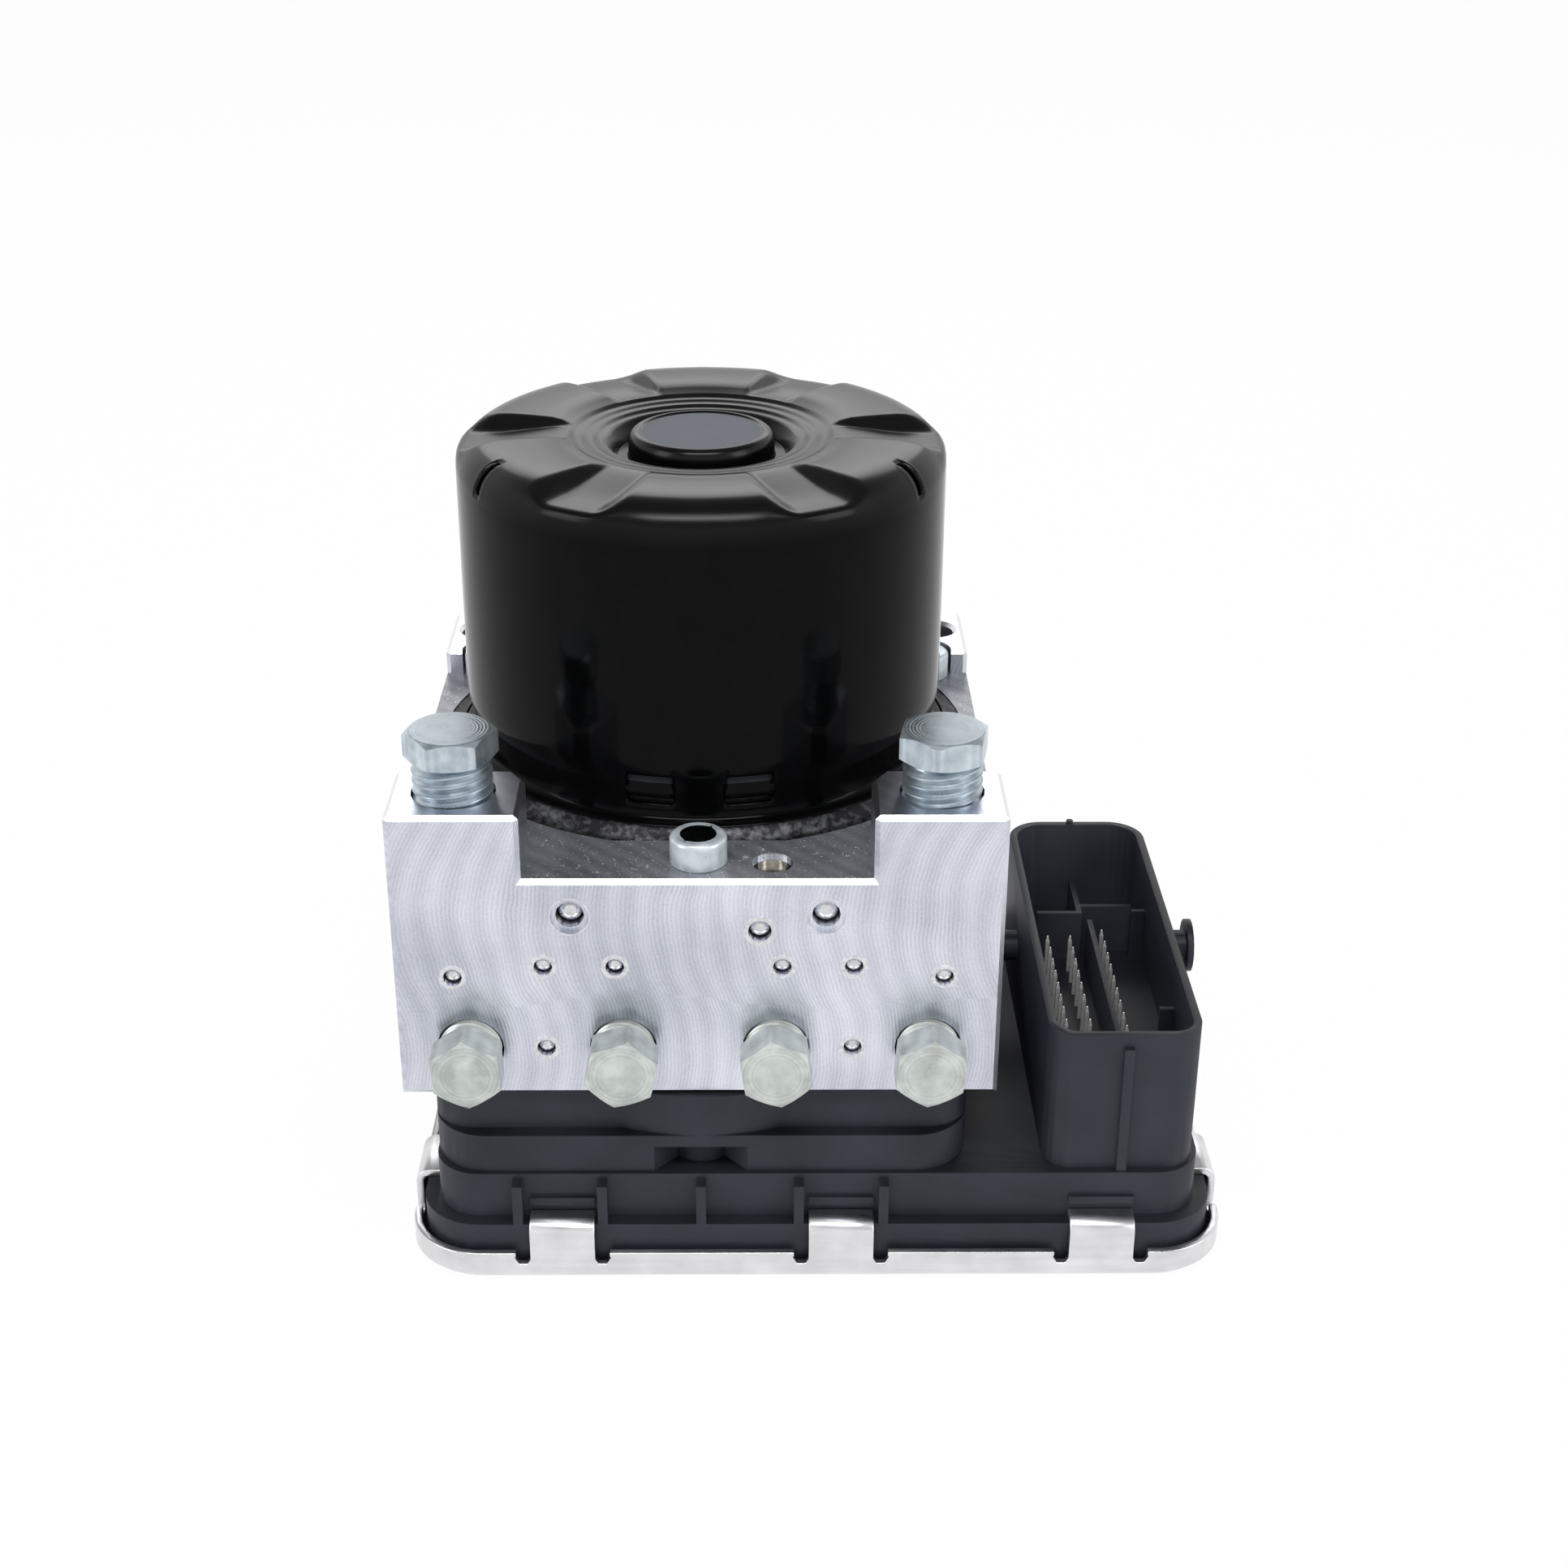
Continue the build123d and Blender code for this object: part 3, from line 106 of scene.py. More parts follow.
# The backdrop is white up to well above the horizon; the ceiling over it is a dim grey
height = nodes.new("ShaderNodeSeparateXYZ")
links.new(nodes.new("ShaderNodeTexCoord").outputs["Generated"], height.inputs[0])
ceiling = nodes.new("ShaderNodeMapRange")
for name, value in {"From Min": 0.45, "From Max": 0.75, "To Min": 1.0, "To Max": 0.3}.items():
    ceiling.inputs[name].default_value = value
links.new(height.outputs["Z"], ceiling.inputs["Value"])
links.new(ceiling.outputs["Result"], bright.inputs["Strength"])
links.new(seen_directly(nodes, links), pick.inputs[0])
links.new(dim.outputs[0], pick.inputs[1])
links.new(bright.outputs[0], pick.inputs[2])
links.new(pick.outputs[0], nodes["World Output"].inputs["Surface"])

floor_mesh = bmesh.new()
bmesh.ops.create_grid(floor_mesh, x_segments=1, y_segments=1, size=3.0)
floor_data = bpy.data.meshes.new("floor")
floor_mesh.to_mesh(floor_data)
floor_mesh.free()
floor = bpy.data.objects.new("floor", floor_data)
bpy.context.scene.collection.objects.link(floor)
floor.location.z = -0.0002
floor_finish = bpy.data.materials.new("floor_paper")
floor_finish.use_nodes = True
nodes, links = floor_finish.node_tree.nodes, floor_finish.node_tree.links
paper = nodes["Principled BSDF"]
paper.inputs["Base Color"].default_value = (0.9, 0.9, 0.9, 1)
paper.inputs["Roughness"].default_value = 0.9
paper.inputs["Specular IOR Level"].default_value = 0.0
glow = nodes.new("ShaderNodeEmission")
glow.inputs["Color"].default_value = (1, 1, 1, 1)
share = nodes.new("ShaderNodeMath")
share.operation = "MULTIPLY"
share.inputs[1].default_value = 0.97
mix = nodes.new("ShaderNodeMixShader")
links.new(seen_directly(nodes, links), share.inputs[0])
links.new(share.outputs[0], mix.inputs[0])
links.new(paper.outputs[0], mix.inputs[1])
links.new(glow.outputs[0], mix.inputs[2])
links.new(mix.outputs[0], nodes["Material Output"].inputs["Surface"])
floor_data.materials.append(floor_finish)

# The hydraulic block: a slab sawn from drawn aluminium bar, face-milled so that the cutter leaves
# fine overlapping arcs, then drilled for ports, channels, valves, the pump and the motor.

mm = 0.001
block_low, block_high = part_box("hydraulic_block")
front_ear_rise = 10.3 * mm
block_top = block_high.z - front_ear_rise
block_base = block_low.z
block_front = block_low.y


def new_finish(name, metal, roughness):
    """A material with its shader and the object's own coordinates."""
    made = bpy.data.materials.new(name)
    made.use_nodes = True
    nodes, links = made.node_tree.nodes, made.node_tree.links
    shader = nodes["Principled BSDF"]
    shader.inputs["Metallic"].default_value = metal
    shader.inputs["Roughness"].default_value = roughness
    place = nodes.new("ShaderNodeTexCoord").outputs["Object"]
    return made, nodes, links, shader, place


def speckle(nodes, links, place, per_metre, detail=4.0):
    """Uneven cloudiness of a given fineness."""
    noise = nodes.new("ShaderNodeTexNoise")
    noise.inputs["Scale"].default_value = per_metre
    noise.inputs["Detail"].default_value = detail
    links.new(place, noise.inputs["Vector"])
    return noise.outputs["Fac"]


def toned(nodes, links, shade, dark, light, low=0.3, high=0.7):
    """Colours between a dark and a light tone."""
    ramp = nodes.new("ShaderNodeValToRGB")
    ramp.color_ramp.elements[0].position = low
    ramp.color_ramp.elements[1].position = high
    ramp.color_ramp.elements[0].color = (*dark, 1)
    ramp.color_ramp.elements[1].color = (*light, 1)
    links.new(shade, ramp.inputs["Fac"])
    return ramp.outputs["Color"]


def ranged(nodes, links, shade, low, high):
    """A number that follows a shade between two limits."""
    limits = nodes.new("ShaderNodeMapRange")
    limits.inputs["To Min"].default_value = low
    limits.inputs["To Max"].default_value = high
    links.new(shade, limits.inputs["Value"])
    return limits.outputs["Result"]


def relief(nodes, links, height, depth, strength=1.0, under=None):
    """Surface relief of a given depth, over another relief if there is one."""
    bump = nodes.new("ShaderNodeBump")
    bump.inputs["Distance"].default_value = depth
    bump.inputs["Strength"].default_value = strength
    links.new(height, bump.inputs["Height"])
    if under is not None:
        links.new(under, bump.inputs["Normal"])
    return bump.outputs["Normal"]


def mixed(nodes, links, share, first, second):
    """One colour over another, by a share; the second may be a plain tone."""
    mix = nodes.new("ShaderNodeMix")
    mix.data_type = "RGBA"
    links.new(share, mix.inputs["Factor"])
    links.new(first, mix.inputs["A"])
    if isinstance(second, tuple):
        mix.inputs["B"].default_value = (*second, 1)
    else:
        links.new(second, mix.inputs["B"])
    return mix.outputs["Result"]


def axes_of(nodes, links, vector):
    """The X, Y and Z of a vector."""
    parts = nodes.new("ShaderNodeSeparateXYZ")
    links.new(vector, parts.inputs[0])
    return parts.outputs


def rise_of(nodes, links):
    """How far up a face points: one for a level top, nought for a wall."""
    return axes_of(nodes, links, nodes.new("ShaderNodeNewGeometry").outputs["Normal"])["Z"]


def sum_of(nodes, links, operation, *values):
    """Arithmetic on two numbers or node outputs."""
    step = nodes.new("ShaderNodeMath")
    step.operation = operation
    for slot, value in enumerate(values):
        if isinstance(value, (int, float)):
            step.inputs[slot].default_value = value
        else:
            links.new(value, step.inputs[slot])
    return step.outputs[0]


def cutter_arcs(nodes, links, place, radius, feed, middle, way):
    """Uneven arcs that a face mill of a given radius leaves as it moves along a side."""
    at = axes_of(nodes, links, place)
    offset = sum_of(nodes, links, "SUBTRACT", at["Z"], middle)
    square = sum_of(nodes, links, "MULTIPLY", offset, offset)
    chord = sum_of(nodes, links, "SUBTRACT", radius * radius, square)
    chord = sum_of(nodes, links, "SQRT", sum_of(nodes, links, "MAXIMUM", chord, 0.0))
    along = sum_of(nodes, links, "MULTIPLY", chord, way)
    along = sum_of(nodes, links, "ADD", along, at["X"])
    along = sum_of(nodes, links, "ADD", along, at["Y"])
    wobble = speckle(nodes, links, place, 90.0)
    along = sum_of(nodes, links, "MULTIPLY_ADD", wobble, feed * 4.0, along)
    fine = sum_of(nodes, links, "SINE", sum_of(nodes, links, "MULTIPLY", along, 2 * math.pi / feed))
    broad = sum_of(nodes, links, "SINE", sum_of(nodes, links, "MULTIPLY", along, 0.9 / feed))
    patch = speckle(nodes, links, place, 130.0, 2.0)
    fine = sum_of(nodes, links, "MULTIPLY", fine, ranged(nodes, links, patch, -0.3, 1.7))
    return sum_of(nodes, links, "MULTIPLY_ADD", broad, 0.55, fine)


def between(nodes, links, value, low, high):
    """One where a number lies between two limits, else nought."""
    return sum_of(nodes, links, "MULTIPLY", sum_of(nodes, links, "GREATER_THAN", value, low),
                  sum_of(nodes, links, "LESS_THAN", value, high))


def dress(finish, *names):
    """Give CAD nodes a finish."""
    for name in names:
        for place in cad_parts[name].material_slots:
            place.material = finish


milled, nodes, links, shader, place = new_finish("milled_aluminium", 1.0, 0.34)
at = axes_of(nodes, links, place)
upper_pass = cutter_arcs(nodes, links, place, 31 * mm, 0.62 * mm, 60 * mm, 1.0)
lower_pass = cutter_arcs(nodes, links, place, 27 * mm, 0.55 * mm, 38 * mm, -1.0)
cloud = speckle(nodes, links, place, 45.0, 3.0)
seam = sum_of(nodes, links, "MULTIPLY_ADD", cloud, 9 * mm, at["Z"])
seam = sum_of(nodes, links, "GREATER_THAN", seam, 51 * mm)
change = sum_of(nodes, links, "SUBTRACT", upper_pass, lower_pass)
swirl = sum_of(nodes, links, "MULTIPLY_ADD", change, seam, lower_pass)
fine = speckle(nodes, links, place, 2600.0, 6.0)
tone = sum_of(nodes, links, "MULTIPLY_ADD", swirl, 0.12, cloud)
tone = sum_of(nodes, links, "MULTIPLY_ADD", fine, 0.4, tone)
flat_colour = toned(nodes, links, tone, (0.46, 0.48, 0.55), (0.78, 0.80, 0.88), 0.4, 1.0)

# The chamfers are cut by a fresh tool; their shine is a painted highlight, a near-white colour on
# every face of their slope
rise = rise_of(nodes, links)
chamfer_highlight_mask = between(nodes, links, rise, 0.55, 0.85)
face_colour_with_highlight = mixed(nodes, links, chamfer_highlight_mask, flat_colour, (0.84, 0.84, 0.86))

# The notch's floor lies in the motor's shade, which is painted into its darker colour, and is
# scratched where the staking punch slid
at_floor = between(nodes, links, at["Z"], block_top - 0.15 * mm, block_top + 0.3 * mm)
behind_edge = between(nodes, links, at["Y"], block_front + 0.75 * mm, 60 * mm)
level_face = sum_of(nodes, links, "GREATER_THAN", rise, 0.9)
shaded_floor_mask = sum_of(nodes, links, "MULTIPLY", at_floor, behind_edge)
shaded_floor_mask = sum_of(nodes, links, "MULTIPLY", shaded_floor_mask, level_face)
lines = nodes.new("ShaderNodeTexVoronoi")
lines.feature = "DISTANCE_TO_EDGE"
lines.inputs["Scale"].default_value = 330.0
bend = nodes.new("ShaderNodeVectorMath")
bend.operation = "MULTIPLY_ADD"
twist = nodes.new("ShaderNodeTexNoise")
twist.inputs["Scale"].default_value = 300.0
links.new(place, twist.inputs["Vector"])
links.new(twist.outputs["Color"], bend.inputs[0])
bend.inputs[1].default_value = (6 * mm, 6 * mm, 6 * mm)
links.new(place, bend.inputs[2])
links.new(bend.outputs[0], lines.inputs["Vector"])
scratch = sum_of(nodes, links, "LESS_THAN", lines.outputs["Distance"], 0.014)
scratch = sum_of(nodes, links, "MULTIPLY", scratch, sum_of(
    nodes, links, "GREATER_THAN", speckle(nodes, links, place, 520.0, 2.0), 0.6))
scratch = sum_of(nodes, links, "MAXIMUM", scratch, sum_of(
    nodes, links, "GREATER_THAN", speckle(nodes, links, place, 1900.0, 1.0), 0.72))
# Painted shade: the floor's tones are far darker than the milled face's
floor_colour_painted_shade = toned(nodes, links, tone, (0.115, 0.121, 0.139), (0.36, 0.373, 0.41), 0.4, 1.0)
scored = mixed(nodes, links, scratch, floor_colour_painted_shade, (0.7, 0.7, 0.7))
links.new(mixed(nodes, links, shaded_floor_mask, face_colour_with_highlight, scored), shader.inputs["Base Color"])
links.new(ranged(nodes, links, shaded_floor_mask, 1.0, 0.45), shader.inputs["Metallic"])
links.new(ranged(nodes, links, cloud, 0.24, 0.40), shader.inputs["Roughness"])
under = relief(nodes, links, swirl, 0.01 * mm, 0.6)
links.new(relief(nodes, links, fine, 0.008 * mm, 0.5, under), shader.inputs["Normal"])
dress(milled, "hydraulic_block")

# The outlet plugs: four zinc-plated steel screw plugs with hexagon heads, turned on a lathe, so
# their ends show fine rings. They screw into the wheel brake ports of the front face.

ring_steps = 72


def ring_on(bm, radius, height, shape=None):
    """A closed ring of edges about the z axis."""
    made = bmesh.ops.create_circle(bm, segments=ring_steps, radius=radius)["verts"]
    for vert in made:
        vert.co.z = height
        if shape:
            turn = math.atan2(vert.co.y, vert.co.x)
            reach = shape(turn)
            vert.co = Vector((reach[0] * math.cos(turn), reach[0] * math.sin(turn), reach[1]))
    return made


def skin_rings(bm, rings):
    """Join rings one after the other, and close the first and the last."""
    loops = []
    for radius, height in rings:
        if callable(radius):
            loops.append(ring_on(bm, 1.0, 0.0, radius))
        else:
            loops.append(ring_on(bm, radius, height))
    for one, two in zip(loops, loops[1:]):
        edges = [e for v in one for e in v.link_edges if e.other_vert(v) in one]
        edges += [e for v in two for e in v.link_edges if e.other_vert(v) in two]
        bmesh.ops.bridge_loops(bm, edges=list(dict.fromkeys(edges)))
    for loop in (loops[0], loops[-1]):
        edges = [e for v in loop for e in v.link_edges if e.other_vert(v) in loop]
        bmesh.ops.contextual_create(bm, geom=list(dict.fromkeys(edges)))
    return [v for loop in loops for v in loop]


def hexagon(flats, height, face_radius, slope):
    """The outline of a hexagon whose corners are chamfered down from a round face."""
    def reach(turn):
        corner = (turn + math.pi / 6) % (math.pi / 3) - math.pi / 6
        out = flats / 2 / math.cos(corner)
        return out, height - max(0.0, out - face_radius) * slope
    return reach


def screw_plug(bm, flats, hex_low, hex_high, thread, pitch, reach):
    """A hexagon-headed plug that stands on z = 0 with its thread below and above the port."""
    face = flats / 2 * 0.965
    rings = [(0.6 * face, hex_high), (face, hex_high), (hexagon(flats, hex_high, face, 0.55), 0),
             (hexagon(flats, hex_low, face, -0.45), 0), (face * 0.98, hex_low),
             (thread - 0.75 * pitch, hex_low), (thread - 0.75 * pitch, hex_low - 0.4 * mm)]
    height = hex_low - 0.5 * mm
    threads = []
    while height > -reach:
        threads += [(thread - 0.6 * pitch, height), (thread, height - pitch * 0.42),
                    (thread, height - pitch * 0.58), (thread - 0.6 * pitch, height - pitch * 0.98)]
        height -= pitch
    verts = skin_rings(bm, rings + threads)
    for vert in verts:
        if vert.co.z < hex_low - 0.45 * mm:
            vert.co.z += vert.co.x / thread * pitch / 2 * 0.9
    return verts


def finished_piece(bm, name, body, finish, angle=35.0):
    """Turn a mesh into a piece of the module, smooth up to a given angle."""
    bmesh.ops.recalc_face_normals(bm, faces=bm.faces[:])
    data = bpy.data.meshes.new(name)
    bm.to_mesh(data)
    bm.free()
    data.materials.append(finish)
    data.shade_smooth()
    data.set_sharp_from_angle(angle=math.radians(angle))
    piece = bpy.data.objects.new(name, data)
    bpy.context.scene.collection.objects.link(piece)
    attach(piece, body)
    return piece


def axis_distance(piece, centres, along):
    """Write on each point how far it lies from its own part's axis, for lathe rings."""
    attribute = piece.data.attributes.new("from_axis", "FLOAT", "POINT")
    for i, vert in enumerate(piece.data.vertices):
        spots = [Vector((vert.co.x - c.x, vert.co.y - c.y, vert.co.z - c.z)) for c in centres]
        gaps = []
        for spot in spots:
            spot[along] = 0
            gaps.append(spot.length)
        attribute.data[i].value = min(gaps) / mm


def scaled(nodes, links, colour, share):
    """A colour made lighter or darker by a share."""
    shade = nodes.new("ShaderNodeVectorMath")
    shade.operation = "SCALE"
    links.new(colour, shade.inputs[0])
    links.new(share, shade.inputs["Scale"])
    return shade.outputs[0]


def plated_finish(name, dark, light, rings_per_mm, top_painted_shade=1.0):
    """Zinc plate over turned steel: soft cloudy tone with lathe rings about each part's axis, and
    painted shade that darkens flat tops by a share.
    """
    made, nodes, links, shader, place = new_finish(name, 0.8, 0.3)
    radius = nodes.new("ShaderNodeAttribute")
    radius.attribute_name = "from_axis"
    turns = sum_of(nodes, links, "MULTIPLY", radius.outputs["Fac"], 2 * math.pi * rings_per_mm)
    rings = sum_of(nodes, links, "SINE", turns)
    slow = sum_of(nodes, links, "SINE", sum_of(nodes, links, "MULTIPLY", radius.outputs["Fac"], 5.1))
    rings = sum_of(nodes, links, "MULTIPLY_ADD", slow, 0.6, rings)
    cloud = speckle(nodes, links, place, 350.0, 5.0)
    grain = speckle(nodes, links, place, 4000.0, 4.0)
    tone = sum_of(nodes, links, "MULTIPLY_ADD", rings, 0.06, cloud)
    # Painted shade: faces that point straight up are darkened by the given share
    flat_top_painted_shade = sum_of(nodes, links, "GREATER_THAN", rise_of(nodes, links), 0.97)
    links.new(scaled(nodes, links, toned(nodes, links, tone, dark, light),
                     ranged(nodes, links, flat_top_painted_shade, 1.0, top_painted_shade)), shader.inputs["Base Color"])
    links.new(ranged(nodes, links, cloud, 0.2, 0.4), shader.inputs["Roughness"])
    under = relief(nodes, links, rings, 0.008 * mm, 0.8)
    links.new(relief(nodes, links, grain, 0.012 * mm, 0.6, under), shader.inputs["Normal"])
    return made


yellow_zinc = plated_finish("yellow_zinc_plate", (0.42, 0.45, 0.43), (0.65, 0.69, 0.66), 1.6)
outlet_pitch, outlet_rise = 22.86 * mm, 8.2 * mm
outlet_centres = [Vector(((i - 1.5) * outlet_pitch, block_front, block_base + outlet_rise))
                  for i in range(4)]
outlet_turns = (3.0, -12.0, 8.0, -4.0)
plugs = bmesh.new()
for centre, turn in zip(outlet_centres, outlet_turns):
    verts = screw_plug(plugs, 10 * mm, 2.3 * mm, 8.0 * mm, 4.7 * mm, 1.0 * mm, 4.0 * mm)
    bmesh.ops.rotate(plugs, verts=verts, cent=(0, 0, 0), matrix=Matrix.Rotation(
        math.radians(turn), 3, "Z"))
    bmesh.ops.rotate(plugs, verts=verts, cent=(0, 0, 0), matrix=Matrix.Rotation(
        math.radians(90), 3, "X"))
    bmesh.ops.translate(plugs, verts=verts, vec=centre)
outlet_pieces = finished_piece(plugs, "outlet_plugs_turned", "module", yellow_zinc,
                               20.0)
axis_distance(outlet_pieces, outlet_centres, 1)
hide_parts("outlet_plugs")

# The inlet plugs: two larger plugs, plated blue-white, in the ports on top of the front ears. A
# few turns of their threads stand clear of the ports.

# The inlet plugs' flat tops get painted shade at half tone
blue_zinc = plated_finish("blue_zinc_plate", (0.36, 0.42, 0.47), (0.62, 0.69, 0.74), 2.0, 0.5)
inlet_from_middle, inlet_from_front = 35.7 * mm, 8.7 * mm
inlet_centres = [Vector((side * inlet_from_middle, block_front + inlet_from_front, block_high.z))
                 for side in (-1, 1)]
inlet_turns = (-22.3, -11.7)
plugs = bmesh.new()
for centre, turn in zip(inlet_centres, inlet_turns):
    verts = screw_plug(plugs, 12 * mm, 5.6 * mm, 10.0 * mm, 5.9 * mm, 1.5 * mm, 6.0 * mm)
    bmesh.ops.rotate(plugs, verts=verts, cent=(0, 0, 0), matrix=Matrix.Rotation(
        math.radians(turn), 3, "Z"))
    bmesh.ops.translate(plugs, verts=verts, vec=centre)
inlet_pieces = finished_piece(plugs, "inlet_plugs_turned", "module", blue_zinc, 20.0)
axis_distance(inlet_pieces, inlet_centres, 2)
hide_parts("inlet_plugs")

# The sealing balls: hardened and polished steel balls, pressed into the mouths of drilled
# channels. The press leaves a shallow bright collar in the aluminium round each.

ball_steel, nodes, links, shader, place = new_finish("polished_ball_steel", 1.0, 0.06)
haze = speckle(nodes, links, place, 900.0)
links.new(toned(nodes, links, haze, (0.55, 0.55, 0.56), (0.74, 0.74, 0.75)),
          shader.inputs["Base Color"])
links.new(ranged(nodes, links, haze, 0.04, 0.12), shader.inputs["Roughness"])
collar_finish, nodes, links, shader, place = new_finish("burnished_aluminium", 1.0, 0.2)
haze = speckle(nodes, links, place, 1500.0)
links.new(toned(nodes, links, haze, (0.55, 0.56, 0.58), (0.80, 0.81, 0.83)),
          shader.inputs["Base Color"])
links.new(relief(nodes, links, haze, 0.02 * mm, 0.6), shader.inputs["Normal"])

ball_groups = {
    "sealing_balls_large": (2.05, ((-18.77, 30.57), (18.77, 30.57))),
    "sealing_ball_medium": (1.7, ((9.03, 28.2),)),
    "sealing_balls_small": (1.35, ((-36.35, 20.4), (36.35, 20.4), (-22.95, 22.2), (22.95, 22.2),
                                   (-12.35, 22.15), (12.35, 22.15), (-22.93, 8.26), (22.93, 8.26)))}
collars = bmesh.new()
for node, (radius, spots) in ball_groups.items():
    balls = bmesh.new()
    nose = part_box(node)[0].y
    for x, z in spots:
        middle = Vector((x * mm, nose + radius * mm, block_base + z * mm))
        bmesh.ops.create_uvsphere(balls, u_segments=32, v_segments=20, radius=radius * mm,
                                  matrix=Matrix.Translation(middle))
        inner = radius + 0.02 if node != "sealing_balls_large" else 2.8
        outer = inner + (0.75 if node != "sealing_balls_large" else 0.3)
        profile = [(inner, 0.1), (inner + 0.06, -0.02), ((inner + outer) / 2, -0.05),
                   (outer - 0.06, -0.02), (outer, 0.1)]
        rings = [ring_on(collars, r * mm, -h * mm) for r, h in profile]
        for one, two in zip(rings, rings[1:]):
            edges = [e for v in one + two for e in v.link_edges
                     if e.other_vert(v) in (one if v in one else two)]
            bmesh.ops.bridge_loops(collars, edges=list(dict.fromkeys(edges)))
        moved = [v for ring in rings for v in ring]
        bmesh.ops.rotate(collars, verts=moved, cent=(0, 0, 0),
                         matrix=Matrix.Rotation(math.radians(90), 3, "X"))
        bmesh.ops.translate(collars, verts=moved, vec=(x * mm, block_front, block_base + z * mm))
    piece = finished_piece(balls, node + "_polished", "module", ball_steel)
    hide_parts(node)
finished_piece(collars, "press_collars", "module", collar_finish)

# The vent cap: a nickel-plated cap in the vent port, held down by a split spring-steel ring.

nickel, nodes, links, shader, place = new_finish("nickel_plate", 1.0, 0.25)
haze = speckle(nodes, links, place, 1200.0)
links.new(toned(nodes, links, haze, (0.34, 0.31, 0.26), (0.55, 0.50, 0.42)),
          shader.inputs["Base Color"])
links.new(relief(nodes, links, haze, 0.02 * mm, 0.5), shader.inputs["Normal"])
spring_steel, nodes, links, shader, place = new_finish("spring_steel", 1.0, 0.22)
haze = speckle(nodes, links, place, 1800.0)
links.new(toned(nodes, links, haze, (0.5, 0.5, 0.5), (0.72, 0.72, 0.72)),
          shader.inputs["Base Color"])
links.new(relief(nodes, links, haze, 0.01 * mm, 0.4), shader.inputs["Normal"])
dress(nickel, "vent_cap")
dress(spring_steel, "vent_snap_ring", "pump_springs", "accumulator_springs", "brush_springs")

# The housing screws: low-head six-lobe machine screws, blue-white zinc over steel. They pass down
# through the block into the control unit's inserts.

head_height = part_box("housing_screws")[1].z - block_top
front_screw_from_front, rear_screw_x, rear_screw_y = 6.4 * mm, 37.5 * mm, 22.5 * mm
screw_centres = [Vector((0, block_front + front_screw_from_front, block_top)),
                 Vector((-rear_screw_x, rear_screw_y, block_top)),
                 Vector((rear_screw_x, rear_screw_y, block_top))]
shank_radius, head_radius, socket_rim = 2.45 * mm, 4.25 * mm, 2.7 * mm
lobe_middle, lobe_swing = 1.9 * mm, 0.32 * mm


def six_lobe(height):
    """The outline of a six-lobe socket."""
    def reach(turn):
        return lobe_middle + lobe_swing * math.cos(6 * turn), height
    return reach


screws = bmesh.new()
for centre in screw_centres:
    rings = [(shank_radius, block_base - block_top - 7 * mm), (shank_radius, 0.0), (4.1 * mm, 0.0),
             (head_radius, 0.15 * mm), (head_radius, head_height - 0.75 * mm),
             (4.13 * mm, head_height - 0.35 * mm), (3.85 * mm, head_height - 0.08 * mm),
             (3.5 * mm, head_height), (socket_rim, head_height),
             (2.5 * mm, head_height - 0.06 * mm),
             (six_lobe(head_height - 0.25 * mm), 0), (six_lobe(head_height - 0.8 * mm), 0),
             (0.2 * mm, head_height - 2.0 * mm)]
    verts = skin_rings(screws, rings)
    bmesh.ops.rotate(screws, verts=verts, cent=(0, 0, 0), matrix=Matrix.Rotation(
        math.radians(12), 3, "Z"))
    bmesh.ops.translate(screws, verts=verts, vec=centre)
screw_zinc = plated_finish("screw_zinc_plate", (0.42, 0.48, 0.52), (0.70, 0.76, 0.80), 2.0)
screw_zinc.node_tree.nodes["Principled BSDF"].inputs["Metallic"].default_value = 0.4
screw_pieces = finished_piece(screws, "six_lobe_screws", "module", screw_zinc)
axis_distance(screw_pieces, screw_centres, 2)
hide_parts("housing_screws")

# The motor can: deep drawn from steel sheet and coated gloss black. Its end is pressed into six
# flat lobes about a bearing boss, with three vent slots; windows are lanced in its neck.

can_top = 117.9 * mm
boss_face_radius = 9.3 * mm
window_low, window_high = 70.9 * mm, 76.0 * mm
slot_low, slot_inner = 113.0 * mm, 34.2 * mm
can_steps = 360
lobe_half, wall_half = math.radians(19.0), math.radians(1.7)
wall_at_rim = math.radians(4.2)

# Radius and height in mm, from the flange's foot up to the shoulder
can_profile = ((38.9, 66.4), (39.35, 66.5), (39.38, 68.0), (39.2, 68.35), (38.8, 68.45),
               (38.1, 68.5), (37.6, 68.75), (37.3, 69.3), (37.22, 70.0), (37.22, 70.8),
               (37.3, 71.8), (37.45, 72.8), (37.65, 73.8), (37.85, 74.6), (38.05, 75.5),
               (38.18, 76.3), (38.23, 77.4), (38.23, 80.0), (38.23, 90.0), (38.23, 100.0),
               (38.23, 107.0), (38.23, 110.5), (38.22, 112.6))
# The end: radius and height on a lobe, with its rounded shoulder, then in a sharp-rimmed valley
end_profile = (((38.15, 113.4), (38.2, 113.4)), ((37.95, 114.3), (38.15, 114.3)),
               ((37.55, 115.25), (38.02, 115.1)), ((36.95, 116.15), (37.75, 115.6)),
               ((36.15, 116.95), (37.3, 115.88)), ((35.2, 117.55), (36.4, 115.95)),
               ((34.1, 117.95), (34.9, 116.0)), ((33.0, 118.15), (33.4, 116.05)),
               ((31.5, 118.24), (31.6, 116.12)), ((29.0, 118.26), (29.0, 116.4)),
               ((26.5, 118.24), (26.5, 116.75)), ((24.0, 118.15), (24.0, 117.1)),
               ((22.3, 117.85), (22.3, 117.3)), ((21.0, 117.4), (21.0, 117.38)))
